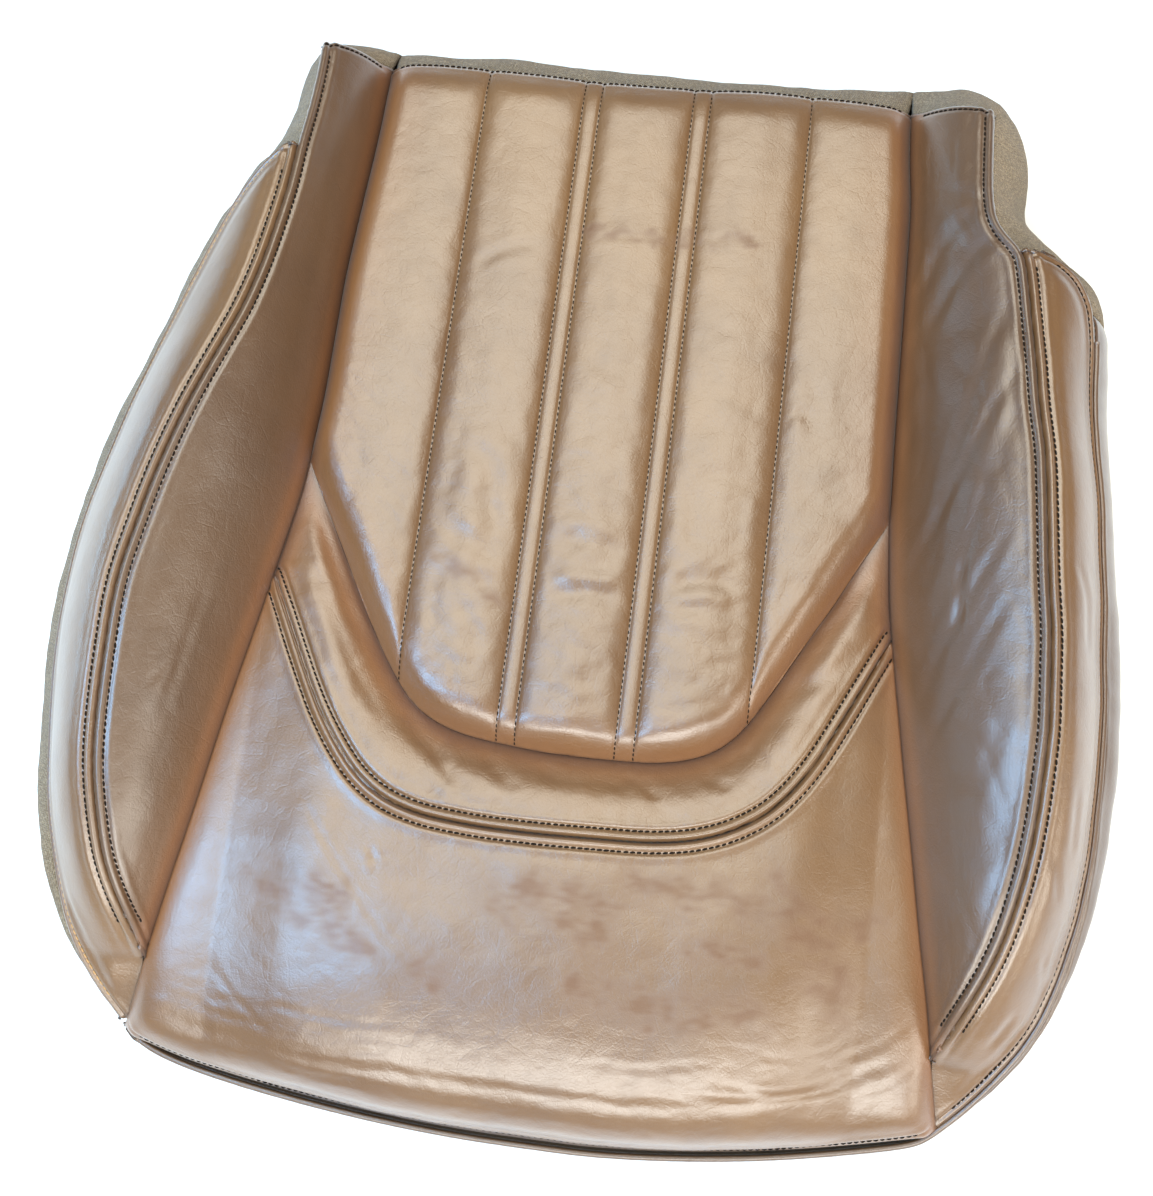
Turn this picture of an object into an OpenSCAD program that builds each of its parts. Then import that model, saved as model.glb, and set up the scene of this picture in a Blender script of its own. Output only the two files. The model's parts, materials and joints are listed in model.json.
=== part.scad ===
// Car seat base cushion: a moulded foam bun in a sewn leather and knit cover,
// tied down by listing wires and hog rings, with four J-channel flaps that hook onto a seat pan.
// Front of the seat is -Y, the backrest side is +Y, +Z is up. Origin: centre of the base, on the base plane.

/* [Cushion] */
// Height of the seating surface above the base
seat_h = 96; // [92:1:102]
// Rise of the side bolsters above the seating surface
bolster_rise = 43; // [38:1:50]
// Height of the front edge seam above the base
front_seam_h = 52; // [46:1:58]
// Depth of the tuck seams below the seating surface
tuck_depth = 12; // [8:1:14]

/* [Cover] */
// Thickness of the laminated leather panels
leather_t = 4.5; // [3:0.5:5]
// Thickness of the pleated centre leather
insert_t = 2; // [1.5:0.5:2.5]
// Thickness of the side walls of the cover
fascia_t = 2.5; // [2:0.5:3]
// Diameter of the piping
welt_d = 4; // [3:0.5:5]
// Clearance between a panel's edge and its seam
seam_gap = 0.4; // [0.3:0.1:0.6]

/* [Inside] */
// Thickness of the wadding behind the centre leather
pad_t = 6; // [4:0.5:8]
// Half width of the tie-down trenches in the foam
trench_r = 9; // [8.5:0.5:11]
// Height of the trench floors above the base
trench_z = 66; // [60:1:68]
// Diameter of the listing and anchor wires
wire_d = 2.5; // [2:0.5:2.5]
// Thickness of the felt under the foam
felt_t = 2; // [1.5:0.5:3]

/* [Flaps] */
// Height of the fold line of the retaining flaps
fold_h = 30; // [28:1:32]
// Length of the front flap
front_flap_l = 270; // [200:10:280]
// Length of the rear flap
rear_flap_l = 240; // [180:10:250]
// Length of each side flap
side_flap_l = 190; // [140:10:200]
// Thickness of the flap webbing
flap_t = 1.5; // [1:0.5:2]
// Mouth of the J-channels
hook_gap = 3.5; // [3:0.5:3.8]

/* [Hidden] */

leather_c = [0.56, 0.38, 0.23];
knit_c = [0.60, 0.55, 0.47];
foam_c = [0.88, 0.85, 0.72];
felt_c = [0.30, 0.30, 0.31];
steel_c = [0.62, 0.63, 0.65];
sleeve_c = [0.85, 0.85, 0.82];
web_c = [0.16, 0.16, 0.17];
plastic_c = [0.08, 0.08, 0.09];

zt0 = seat_h - tuck_depth;              // height of the tuck seams
zr0 = seat_h + bolster_rise;            // highest point of the bolster seams
front_y = -276;                         // front edge at the centre
rear_y = 256;                           // rear edge of the leather
side_x = 238;                           // outer face of the side flaps
front_flap_y = -265;                    // outer face of the front flap
rear_flap_y = 262;                      // outer face of the rear flap
side_mid_y = -62;                       // centre of the side flaps

// ---- seam curves, in plan: half width against y, or y against x across the seat ----
tuck_tab = [[-250, 194], [-215, 185], [-180, 179], [-120, 168], [-60, 158], [0, 148], [35, 144], [90, 143], [170, 142], [256, 137]];
u_tab = [[0, -101], [35, -100], [60, -96], [75, -88], [86, -75], [105, -42], [132, 8], [144.5, 32]];
twin_tab = [[0, -140], [45, -139], [70, -135], [92, -124], [110, -106], [125, -82], [140, -51], [152, -28]];
ridge_l = [[-219, 186], [-195, 197], [-160, 208], [-130, 213], [-85, 214], [-30, 210], [15, 201], [60, 188], [110, 175], [160, 169], [250, 168]];
ridge_r = [[-219, 186], [-198, 194], [-165, 206], [-120, 214], [-70, 216], [-20, 214], [35, 208], [80, 202], [125, 197], [158, 192], [170, 183], [182, 177], [250, 175]];
edge_l = [[-250, 196], [-236, 210], [-215, 224], [-190, 234], [-150, 244], [-110, 250], [-65, 252], [-20, 250], [20, 242], [60, 232], [100, 220], [135, 208], [158, 197], [172, 186], [184, 171]];
edge_r = [[-250, 195], [-236, 207], [-215, 223], [-190, 235], [-150, 244], [-100, 248], [-30, 247], [30, 241], [90, 234], [130, 231], [147, 226], [156, 217], [161, 205], [163, 195]];
mid_l = [[-250, 195], [-239, 207], [-225, 221], [-205, 234], [-170, 248], [-130, 257], [-80, 262], [-50, 262], [-10, 260], [35, 252], [75, 242], [115, 229], [155, 215], [180, 205], [203, 192], [225, 187], [245, 185]];
mid_r = [[-250, 195], [-239, 207], [-225, 220], [-205, 233], [-170, 248], [-130, 258], [-95, 262], [-60, 262], [0, 258], [60, 252], [95, 248], [137, 245], [155, 241], [169, 233], [180, 221], [188, 206], [195, 200], [225, 201], [245, 197]];
// rear bulge of the knit wall, y against x
rear_tab = [[-170, 267], [-135, 270], [-95, 273], [-50, 272], [0, 270], [60, 271], [100, 272], [140, 276], [165, 276]];

// ---- seam heights against y ----
tuck_drop = [[-250, -32], [-235, -18], [-215, -8], [-190, -2], [-150, 0], [256, 0]];
twin_rise = [[0, 4], [65, 3], [97, 2], [120, 0], [140, -5], [152, -8]];
ridge_drop = [[-219, -63], [-200, -40], [-180, -30], [-160, -21], [-135, -14], [-100, -8], [-60, -4], [0, -1], [40, 0], [90, -3], [140, -7], [185, -12], [250, -21]];
edge_rise = [[-250, -42], [-236, -34], [-215, -25], [-190, -18], [-150, -8], [-110, -3], [-65, 0], [-20, 3], [20, 7], [60, 10], [100, 12], [135, 16], [163, 34]];
edge_rise_l = [[-250, -42], [-236, -34], [-215, -25], [-190, -18], [-150, -8], [-110, -3], [-65, 0], [-20, 3], [20, 7], [60, 10], [100, 12], [135, 15], [158, 20], [172, 26], [184, 32]];

// ---- smooth interpolation through a table ----
function seg(t, x, i = 0) = i >= len(t) - 2 || x < t[i + 1][0] ? i : seg(t, x, i + 1);
function slope(t, i) = let (a = max(0, i - 1), b = min(len(t) - 1, i + 1)) (t[b][1] - t[a][1]) / (t[b][0] - t[a][0]);
function sm(t, x) = let (i = seg(t, x), h = t[i + 1][0] - t[i][0], u = max(0, min(1, (x - t[i][0]) / h)),
  a = t[i][1], b = t[i + 1][1], ma = slope(t, i) * h, mb = slope(t, i + 1) * h)
  a * (2*u*u*u - 3*u*u + 1) + ma * (u*u*u - 2*u*u + u) + b * (3*u*u - 2*u*u*u) + mb * (u*u*u - u*u);
function lerp(a, b, t) = a + (b - a) * t;
function roll(q) = q >= 1 ? 1 : q <= 0 ? 0 : 1 - pow(1 - q, 2.4);
function unit(v) = norm(v) < 1e-9 ? [0, 0, 1] : v / norm(v);

// ---- the upholstered surface ----
function hw(y) = sm(tuck_tab, y);
function zt(y) = zt0 + sm(tuck_drop, y);
function yf(x) = front_y + 26 * pow(x / 194, 2);
function yu(x) = sm(u_tab, abs(x));
function yw(x) = sm(twin_tab, abs(x));
function zw(x) = seat_h + sm(twin_rise, abs(x));
function steep(x) = let (d = yu(min(144, abs(x) + 0.5)) - yu(min(143, abs(x) - 0.5))) sqrt(1 + d * d);
function xr(s, y) = y < -219 ? hw(y) : sm(s < 0 ? ridge_l : ridge_r, y);
function zr(y) = y < -219 ? zt(y) : max(zt(y), zr0 + sm(ridge_drop, y));
function last_edge(s) = s < 0 ? 184 : 163;
function xe(s, y) = y > last_edge(s) ? xr(s, y) : max(xr(s, y), sm(s < 0 ? edge_l : edge_r, y));
function ze(s, y) = y > last_edge(s) ? zr(y) : min(zr(y), seat_h + sm(s < 0 ? edge_rise_l : edge_rise, y));

// height of the centre, by region: 0 nose, 1 thigh band, 2 pleated insert
function zc(r, x, y) = let (side = roll(max(0, hw(y) - abs(x)) / 26), tz = zt(y))
  r == 0 ? let (q = max(0, min(1, (y - yf(x)) / (yw(x) - yf(x)))))
      lerp(tz, front_seam_h + (zw(x) - front_seam_h) * pow(1 - pow(1 - q, 3.4), 1 / 3.4), side)
  : r == 1 ? let (q = max(0, min(1, (y - yw(x)) / (yu(x) - yw(x))))) lerp(tz, lerp(zw(x), zt0 + 1, q * q), side)
  : lerp(tz, zt0 + 1 + (tuck_depth + 2 * (1 - pow(x / 145, 2))) * roll(max(0, y - yu(x)) / steep(x) / 24) - 10 * (1 - roll(max(0, rear_y - y) / 22)), side);
function row_y(r, t, f) = r == 0 ? lerp(yf(f * 194), yw(f * 152), t) : r == 1 ? lerp(yw(f * 152), yu(f * 144.5), t) : lerp(yu(f * 144.5), rear_y, t);
// point of the centre in row t, at fraction f of the half width
function centre(r, t, f) = let (ye = row_y(r, t, 1), h = hw(ye) - seam_gap, y = row_y(r, t, f)) [f * h, y, zc(r, f * h, y)];
// fall of the outer panel from the ridge (u = 0) to its edge (u = 1)
function fall(u) = 1 - 1.3 * u * u + 0.3 * pow(u, 5);
// height of a bolster at distance x from the centre line
function zb(s, x, y) = let (h = hw(y), a = max(h + 0.1, xr(s, y)), b = max(a + 0.1, xe(s, y)), rz = zr(y), ez = ze(s, y))
  x < a ? lerp(zt(y), rz, 1 - pow(1 - max(0, x - h) / (a - h), 1.5))
  : lerp(ez, rz, fall(min(1, (x - a) / (b - a))));
// point of a bolster: u runs 0 to 1 over the inner panel and 1 to 2 over the outer one
function bolster(s, y, u) = let (w = max(0, (y - 200) / 56), yy = y - 13 * min(1, u) * w * w, h = hw(y) + seam_gap, a = xr(s, yy), b = xe(s, yy), rz = zr(yy))
  u <= 1 ? [s * lerp(h, a, u), yy, lerp(zt(y), rz, 1 - pow(1 - u, 1.5))]
  : [s * lerp(a, b, u - 1), yy, lerp(ze(s, yy), rz, fall(u - 1))];

// ---- solids from grids of points ----
function flat(g) = [for (r = g) each r];
function quads(n, m, o, up) = [for (i = [0:n - 2], j = [0:m - 2]) let (a = o + i * m + j, b = a + 1, c = b + m, d = a + m)
  each up ? [[c, b, a], [d, c, a]] : [[a, b, c], [a, c, d]]];
function rims(n, m) = let (k = n * m) [
  for (j = [0:m - 2]) each [[j, j + 1, k + j + 1], [j, k + j + 1, k + j]],
  for (i = [0:n - 2]) let (a = i * m + m - 1, b = a + m) each [[a, b, k + b], [a, k + b, k + a]],
  for (j = [0:m - 2]) let (a = (n - 1) * m + j, b = a + 1) each [[b, a, k + a], [b, k + a, k + b]],
  for (i = [0:n - 2]) let (a = i * m, b = a + m) each [[b, a, k + a], [b, k + a, k + b]]];
module slab(top, bottom) {
  n = len(top); m = len(top[0]);
  polyhedron(concat(flat(top), flat(bottom)), concat(quads(n, m, 0, true), quads(n, m, n * m, false), rims(n, m)), 10);
}
function at(g, i, j) = g[max(0, min(len(g) - 1, i))][max(0, min(len(g[0]) - 1, j))];
function nrm(g, i, j) = unit(cross(at(g, i, j + 1) - at(g, i, j - 1), at(g, i + 1, j) - at(g, i - 1, j)));
// the same grid, d deeper along its normals; mitre is each column's share of a straight drop
function deeper(g, d, mitre = []) = [for (i = [0:len(g) - 1]) [for (j = [0:len(g[0]) - 1])
  let (w = mitre[j] == undef ? 0 : mitre[j]) g[i][j] - d * unit(nrm(g, i, j) * (1 - w) + [0, 0, 1] * w)]];
// a solid swept along a path; the section is [across, up], anticlockwise
module sweep(path, section) {
  n = len(path); m = len(section);
  pts = [for (i = [0:n - 1]) let (d = unit(path[min(n - 1, i + 1)] - path[max(0, i - 1)]), a = unit([d[1], -d[0], 0]), w = cross(a, d))
    for (q = section) path[i] + q[0] * a + q[1] * w];
  polyhedron(pts, concat([[for (j = [m - 1:-1:0]) j]], [[for (j = [0:m - 1]) (n - 1) * m + j]],
    [for (i = [0:n - 2], j = [0:m - 1]) let (k = (j + 1) % m, a = i * m + j, b = i * m + k) each [[a, b, b + m], [a, b + m, a + m]]]), 10);
}
function disc(d, n) = [for (i = [0:n - 1]) d / 2 * [cos(360 * i / n), sin(360 * i / n)]];
// a stack of level outlines, from the top down
module stack(rings) {
  n = len(rings); m = len(rings[0]);
  polyhedron(flat(rings), concat([[for (j = [0:m - 1]) j]], [[for (j = [m - 1:-1:0]) (n - 1) * m + j]],
    [for (i = [0:n - 2], j = [0:m - 1]) let (k = (j + 1) % m, a = i * m + j, b = i * m + k) each [[b, a, a + m], [b, a + m, b + m]]]), 10);
}

// ---- leather panels ----
half_cols = [0.2, 0.36, 0.46, 0.54, 0.62, 0.74, 0.84, 0.92, 0.97, 1];
cols = concat([for (i = [len(half_cols) - 1:-1:0]) -half_cols[i]], [0], half_cols);
function panel(r, ts) = [for (t = ts) [for (f = cols) centre(r, t, f)]];
module centre_panel(r, ts, thick) { g = panel(r, ts); slab(g, deeper(g, thick)); }
inner_us = [0, 0.12, 0.3, 0.55, 0.8, 0.985];
outer_us = [1.015, 1.2, 1.4, 1.6, 1.8, 1.92, 1.99];
inner_ys = [-218, -214, -209, -202, -190, -172, -150, -120, -80, -40, 0, 40, 80, 115, 145, 160, 170, 180, 200, 220, 238, 250, 255.6];
outer_yl = [-248, -242, -234, -226, -217, -205, -190, -165, -135, -100, -60, -20, 20, 60, 100, 135, 157, 170, 180];
outer_yr = [-248, -242, -234, -226, -217, -205, -190, -165, -135, -100, -60, -20, 20, 60, 95, 125, 140, 150, 157, 161];
function reversed(r) = [for (i = [len(r) - 1:-1:0]) r[i]];
module bolster_panel(s, ys, us, mitre) {
  g = [for (y = ys) let (row = [for (u = us) bolster(s, y, u)]) s < 0 ? reversed(row) : row];
  slab(g, deeper(g, leather_t, s < 0 ? reversed(mitre) : mitre));
}
module insert_cover() color(leather_c) centre_panel(2, [0.002, 0.02, 0.05, 0.1, 0.2, 0.4, 0.6, 0.8, 0.9, 0.95, 0.98, 0.998], insert_t);
module thigh_band() color(leather_c) centre_panel(1, [0.02, 0.25, 0.5, 0.75, 0.97], leather_t);
module nose_panel() color(leather_c) centre_panel(0, [0, 0.0008, 0.005, 0.02, 0.05, 0.1, 0.2, 0.35, 0.55, 0.8, 0.995], leather_t);
module left_bolster_inner() color(leather_c) bolster_panel(-1, inner_ys, inner_us, [0, 0, 0, 0, 0.4, 1]);
module right_bolster_inner() color(leather_c) bolster_panel(1, inner_ys, inner_us, [0, 0, 0, 0, 0.4, 1]);
module left_bolster_outer() color(leather_c) bolster_panel(-1, outer_yl, outer_us, [1, 0.4, 0, 0, 0, 0, 0]);
module right_bolster_outer() color(leather_c) bolster_panel(1, outer_yr, outer_us, [1, 0.4, 0, 0, 0, 0, 0]);

// ---- side walls of the cover: each station is [top, mid, foot, outward] ----
// near the front corners the edges lie flatter, so what hangs below them starts lower
function corner_drop(y) = 6 * max(0, min(1, (-190 - y) / 50));
function foot_z(v, half) = abs(v) < half + 1.5 ? fold_h + 0.4 : 8;
function mid_x(s, y) = sm(s < 0 ? mid_l : mid_r, y);
function side_st(s, y, drop) = let (m = mid_x(s, y)) [[s * xe(s, y), y, ze(s, y) - drop], [s * m, y, min(74, ze(s, y) - drop - 6)],
  [s * min(side_x - 0.1, m - 5), y, foot_z(y - side_mid_y, side_flap_l / 2)], [s, 0, 0]];
function front_st(x) = [[x, yf(x), front_seam_h - welt_d - 0.7], [x, yf(x) + 1, front_seam_h - 12],
  [x, max(yf(x) + 4, front_flap_y + 0.1), foot_z(x, front_flap_l / 2)], [0, -1, 0]];
function rear_mid(x) = sm(rear_tab, x);
// top of the rear wall: the rear edge of the insert, then of the bolster
function rear_top(x) = abs(x) < 137 ? centre(2, 1, x / 137) : bolster(sign(x), 256, min(0.97, (abs(x) - 137) / 36));
function rear_st(x) = let (p = rear_top(x)) [[x, p[1] + 0.6, p[2] - (abs(x) > 136.5 ? 2 * leather_t : 0.6)], [x, rear_mid(x), 72],
  [x, min(rear_mid(x) - 6, rear_flap_y - 0.1), foot_z(x, rear_flap_l / 2)], [0, 1, 0]];
function corner_st(s) = let (p = bolster(s, 256, 0.99), q = s < 0 ? [183, 258] : [191, 264])
  [[p[0] + s * 0.6, p[1] + 0.6, p[2] - leather_t - 2], [s * q[0], q[1], 73], [s * (q[0] - 4), q[1] - 4, 8], [s * 0.7, 0.7, 0]];
walls = [0, 0.1, 0.25, 0.45, 0.6, 0.8, 1];
function wall_xy(st, w) = w <= 0.45 ? lerp(st[0], st[1], sin(200 * w)) : lerp(st[1], st[2], 1 - cos(90 * (w - 0.45) / 0.55));
function wall_z(st, w) = w <= 0.45 ? lerp(st[0][2], st[1][2], w / 0.45) : lerp(st[1][2], st[2][2], (w - 0.45) / 0.55);
function wall_pt(st, w, inset) = let (p = wall_xy(st, w) - inset * st[3]) [p[0], p[1], wall_z(st, w)];
module wall(sts, t) {
  slab([for (w = walls) [for (st = sts) wall_pt(st, w, 0)]], [for (w = walls) [for (st = sts) wall_pt(st, w, t)]]);
}
fs = front_flap_l / 2 + 1.5; rs = rear_flap_l / 2 + 1.5; s0 = side_mid_y - side_flap_l / 2 - 1.5; s1 = side_mid_y + side_flap_l / 2 + 1.5;
front_xs = [192.2, 182, 160, fs + 1, fs - 1, 90, 45, 0, -45, -90, 1 - fs, -fs - 1, -160, -182, -192.2];
side_ys = [-247, -240, -230, -216, -196, -176, s0 - 1, s0 + 1, -120, -80, -40, 0, s1 - 1, s1 + 1, 65, 95, 120, 141.7];
rear_xs = [-136.2, -rs - 1, 1 - rs, -80, -40, 0, 40, 80, rs - 1, rs + 1, 136.2];
left_gusset_ys = [158.3, 172, 184, 200, 220, 237];
right_gusset_ys = [142.3, 152, 160, 165, 172, 180, 188, 198, 215, 237];
end_xs = [166, 156, 146, 136.8];
front_sts = [for (x = front_xs) front_st(x)];
left_sts = [for (y = concat(side_ys, [157.7])) side_st(-1, y, 3.6 + 0.5 * corner_drop(y))];
right_sts = [for (y = reversed(side_ys)) side_st(1, y, y < 130 ? welt_d + 0.7 + corner_drop(y) : 4.2)];
rear_sts = [for (x = rear_xs) rear_st(x)];
left_gusset_sts = concat([for (y = left_gusset_ys) side_st(-1, y, y > last_edge(-1) ? leather_t + 1.8 : 3.8)], [corner_st(-1)], [for (x = end_xs) rear_st(-x)]);
right_gusset_sts = concat([for (x = reversed(end_xs)) rear_st(x)], [corner_st(1)], [for (y = reversed(right_gusset_ys)) side_st(1, y, y > last_edge(1) ? leather_t + 1.8 : 5.5)]);
module front_fascia() color(leather_c) wall(front_sts, fascia_t);
module left_fascia() color(knit_c) wall(left_sts, fascia_t);
module right_fascia() color(leather_c) wall(right_sts, fascia_t);
module rear_fascia() color(knit_c) wall(rear_sts, fascia_t);
module left_rear_gusset() color(knit_c) wall(left_gusset_sts, fascia_t);
module right_rear_gusset() color(knit_c) wall(right_gusset_sts, fascia_t);
// piping under the front edge and up the right edge
module edge_welt() color(leather_c) sweep(concat(
  [for (x = [-188, -165, -130, -90, -45, 0, 45, 90, 130, 165, 186]) [x, yf(x) + welt_d / 2 - 0.4, front_seam_h - welt_d / 2 - 0.35]],
  [for (y = [-243, -232, -216, -196, -170, -135, -95, -50, 0, 45, 90, 127]) [xe(1, y) + 1.8, y, ze(1, y) - 1.8 - corner_drop(y)]]), disc(welt_d, 8));

// ---- foam ----
function wall_at(st, z, inset) = let (w = z >= st[1][2] ? 0.45 * max(0, min(1, (st[0][2] - z) / (st[0][2] - st[1][2]))) : 0.45 + 0.55 * min(1, (st[1][2] - z) / (st[1][2] - st[2][2])),
  p = wall_xy(st, w) - inset * st[3]) [p[0], p[1], z];
// the front corners are cut off square across the corner above the felt, lower than the leather there
corner_cut = 284;
function off_corner(p) = let (n = [(p[0] < 0 ? -1 : 1) * sqrt(0.5), -sqrt(0.5)], d = n * [p[0], p[1]] - corner_cut) d > 0 ? [p[0] - 0.85 * d * n[0], p[1] - 0.85 * d * n[1], p[2]] : p;
function part_of(v, a, b) = [for (i = [a:b]) v[i]];
all_sts = concat(part_of(left_sts, 1, len(left_sts) - 1), left_gusset_sts, rear_sts, right_gusset_sts, part_of(right_sts, 0, len(right_sts) - 2), part_of(front_sts, 1, len(front_sts) - 2));
module base_block() difference() {
  stack([for (z = [trench_z, 52, 40, 24, felt_t]) [for (st = all_sts) z > 45 ? off_corner(wall_at(st, z, leather_t + 2.5 + (z > 60 && st[0][2] < 85 ? 4 : 0))) : wall_at(st, z, fascia_t + 3)]]);
  // recesses for the flaps
  for (s = [-1, 1]) translate([s * side_x, side_mid_y, 16]) cube([30, side_flap_l + 10, 34], center = true);
  translate([0, front_flap_y, 16]) cube([front_flap_l + 10, 30, 34], center = true);
  translate([0, rear_flap_y, 16]) cube([rear_flap_l + 10, 30, 34], center = true);
  // windows under the hog rings
  for (r = ring_spots) translate([r[0], r[1], trench_z]) rotate([0, 0, r[2]]) cube([2 * trench_r - 2, 6, 8], center = true);
}
fcols = [-1, -0.95, -0.85, -0.65, -0.35, 0, 0.35, 0.65, 0.85, 0.95, 1];
function zcen(x, y) = zc(y < yw(x) ? 0 : y < yu(x) ? 1 : 2, x, y);
function dip(z, sx, sy, d) = max(trench_z + 1, z - d * sqrt(1 + sx * sx + sy * sy));
function cen_pt(x, y, d) = [x, y, dip(zcen(x, y), (zcen(x + 1, y) - zcen(x - 1, y)) / 2, (zcen(x, y + 1) - zcen(x, y - 1)) / 2, d)];
function bol_pt(s, x, y, d) = [s * x, y, dip(zb(s, x, y), (zb(s, x + 1, y) - zb(s, x - 1, y)) / 2, (zb(s, x, y + 1) - zb(s, x, y - 1)) / 2, d)];
module plug(g) slab(g, [for (r = g) [for (p = r) [p[0], p[1], trench_z]]]);
nose_grid = [for (t = [0, 0.04, 0.1, 0.2, 0.35, 0.55, 0.75, 0.9, 1]) let (h = hw(lerp(-226, 0, t)) - trench_r)
  [for (f = fcols) let (x = f * h, y = lerp(yf(x) + leather_t + 8 + 16 * pow(f, 6), yu(x) - 1.3 * trench_r * steep(x), t)) cen_pt(x, y, leather_t + 2.6)]];
insert_grid = [for (t = [0, 0.04, 0.1, 0.3, 0.6, 0.85, 0.94, 1]) [for (f = fcols)
  let (x = f * (hw(lerp(30, 240, t)) - trench_r), y = lerp(yu(x) + trench_r * steep(x), 245, t)) cen_pt(x, y, insert_t + pad_t + 1)]];
module foam_bun() color(foam_c) base_block();
module nose_foam() color(foam_c) plug(nose_grid);
module centre_foam() color(foam_c) plug(insert_grid);
bcols = [0, 0.12, 0.3, 0.5, 0.65, 0.78, 0.9, 1];
bol_ys = [-219, -212, -202, -188, -165, -130, -90, -45, 0, 45, 90, 130, 150, 165, 180, 200, 225, 240];
module bolster_foam(s) {
  top = [for (y = bol_ys) let (row = [for (c = bcols) bol_pt(s, lerp(hw(y) + trench_r, xe(s, y) - leather_t - 5, c), y, leather_t + 2.8)]) s < 0 ? reversed(row) : row];
  foot = [for (y = bol_ys) let (a = hw(y) + trench_r, b = min(mid_x(s, y) - fascia_t - 4, xe(s, y) - leather_t - 2.5), yy = y + (y > 200 ? (y - 200) / 2 : 0),
    row = [for (c = bcols) [s * lerp(a, max(a + 1, b - (y > 200 ? (y - 200) / 4 : 0)), c), yy, trench_z]]) s < 0 ? reversed(row) : row];
  slab(top, foot);
}
module left_bolster_foam() color(foam_c) bolster_foam(-1);
module right_bolster_foam() color(foam_c) bolster_foam(1);
module insert_wadding() color([0.93, 0.93, 0.90]) {
  g = [for (t = [0, 0.04, 0.1, 0.3, 0.6, 0.85, 0.94, 1]) [for (f = fcols)
    let (x = f * (hw(lerp(30, 240, t)) - 7), y = lerp(yu(x) + 7 * steep(x), 249, t)) [x, y, zcen(x, y)]]];
  slab(deeper(g, insert_t + 1), deeper(g, insert_t + pad_t));
}
module base_felt() color(felt_c) difference() {
  linear_extrude(felt_t) polygon([for (st = all_sts) let (p = wall_at(st, felt_t, fascia_t + 1)) [p[0], p[1]]]);
  for (s = [-1, 1]) translate([s * side_x, side_mid_y, 0]) cube([30, side_flap_l + 10, 20], center = true);
  translate([0, front_flap_y, 0]) cube([front_flap_l + 10, 30, 20], center = true);
  translate([0, rear_flap_y, 0]) cube([rear_flap_l + 10, 30, 20], center = true);
}

// ---- tie-down wires, sleeves and rings ----
ring_z = trench_z + 5.2;                // centre of a hog ring
ring_r = 6.4;
side_rings = [-150, -90, -30, 30, 90, 150, 210];
front_rings = [-80, -40, 0, 40, 80];
function side_pt(s, y, z) = [s * hw(y), y, z + zt(y) - zt0];
function u_pt(x, z) = [x, yu(x), z];
function u_turn(x) = atan2(yu(x + 1) - yu(x - 1), 2) + 90;
ring_spots = concat([for (s = [-1, 1], y = side_rings) [s * hw(y), y, 0]], [for (x = front_rings) [x, yu(x), u_turn(x)]]);
wire_ys = [for (y = [-170:20:230]) y];
wire_xs = [for (x = [-112:8:112]) x];
module side_wire(s, z) color(steel_c) sweep([for (y = wire_ys) let (p = side_pt(s, y, z)) [p[0], p[1], max(p[2], trench_z + 1.4)]], disc(wire_d, 8));
module front_wire(z) color(steel_c) sweep([for (x = wire_xs) u_pt(x, z)], disc(wire_d, 8));
module left_listing_wire() side_wire(-1, ring_z + 3.9);
module right_listing_wire() side_wire(1, ring_z + 3.9);
module front_listing_wire() front_wire(ring_z + 3.9);
module left_anchor_wire() side_wire(-1, ring_z - 3.9);
module right_anchor_wire() side_wire(1, ring_z - 3.9);
module front_anchor_wire() front_wire(ring_z - 3.9);
// fabric hemmed round a listing wire, between two rings, and sewn into the tuck seam above it
loop = [[-0.2, 4.2], [-1, 4.2], [-1, 3.6], [-2.8, 0.8], [-2.1, -2.6], [2.1, -2.6], [2.8, 0.8], [1.8, 2.6], [1.2, 2.1], [1.9, 0.6], [1.4, -1.8], [-1.4, -1.8], [-1.9, 0.6], [-0.2, 3.2]];
module hem(p, q) translate(q) rotate([0, 0, atan2(q[1] - p[1], q[0] - p[0]) - 90]) rotate([90, 0, 0]) linear_extrude(norm(q - p)) polygon(loop);
module side_sleeve(s) color(sleeve_c) for (i = [0:len(side_rings) - 2]) hem(side_pt(s, side_rings[i] + 4, ring_z + 3.9), side_pt(s, side_rings[i + 1] - 4, ring_z + 3.9));
module left_listing_sleeve() side_sleeve(-1);
module right_listing_sleeve() side_sleeve(1);
module front_listing_sleeve() color(sleeve_c) for (s = [-1, 1]) hem(u_pt(s == 1 ? 4 : -36, ring_z + 3.9), u_pt(s == 1 ? 36 : -4, ring_z + 3.9));
module hog_rings() color(steel_c) for (r = ring_spots) translate([r[0], r[1], ring_z]) rotate([90, 0, r[2]])
  rotate_extrude($fn = 32) translate([ring_r, 0]) circle(d = 2, $fn = 12);

// ---- retaining flaps: webbing sewn to a hooked plastic channel ----
chan_t = 2;
module webbing(l) translate([-l / 2, 0, 8]) cube([l, flap_t, fold_h - 8]);
// J section: the long leg is sewn to the webbing, the short leg hooks inwards and upwards
module j_channel(l) translate([-l / 2, flap_t, 4]) rotate([90, 0, 90]) linear_extrude(l) polygon([[0, 14], [0, 0.8], [0.8, 0],
  [2 * chan_t + hook_gap - 0.8, 0], [2 * chan_t + hook_gap, 0.8], [2 * chan_t + hook_gap, 8], [chan_t + hook_gap + 0.8, 8], [chan_t + hook_gap, 6.4],
  [chan_t + hook_gap, chan_t], [chan_t, chan_t], [chan_t, 14]]);
module at_front() translate([0, front_flap_y, 0]) children();
module at_rear() translate([0, rear_flap_y, 0]) rotate([0, 0, 180]) children();
module at_left() translate([-side_x, side_mid_y, 0]) rotate([0, 0, -90]) children();
module at_right() translate([side_x, side_mid_y, 0]) rotate([0, 0, 90]) children();
module front_flap_webbing() color(web_c) at_front() webbing(front_flap_l);
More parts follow.
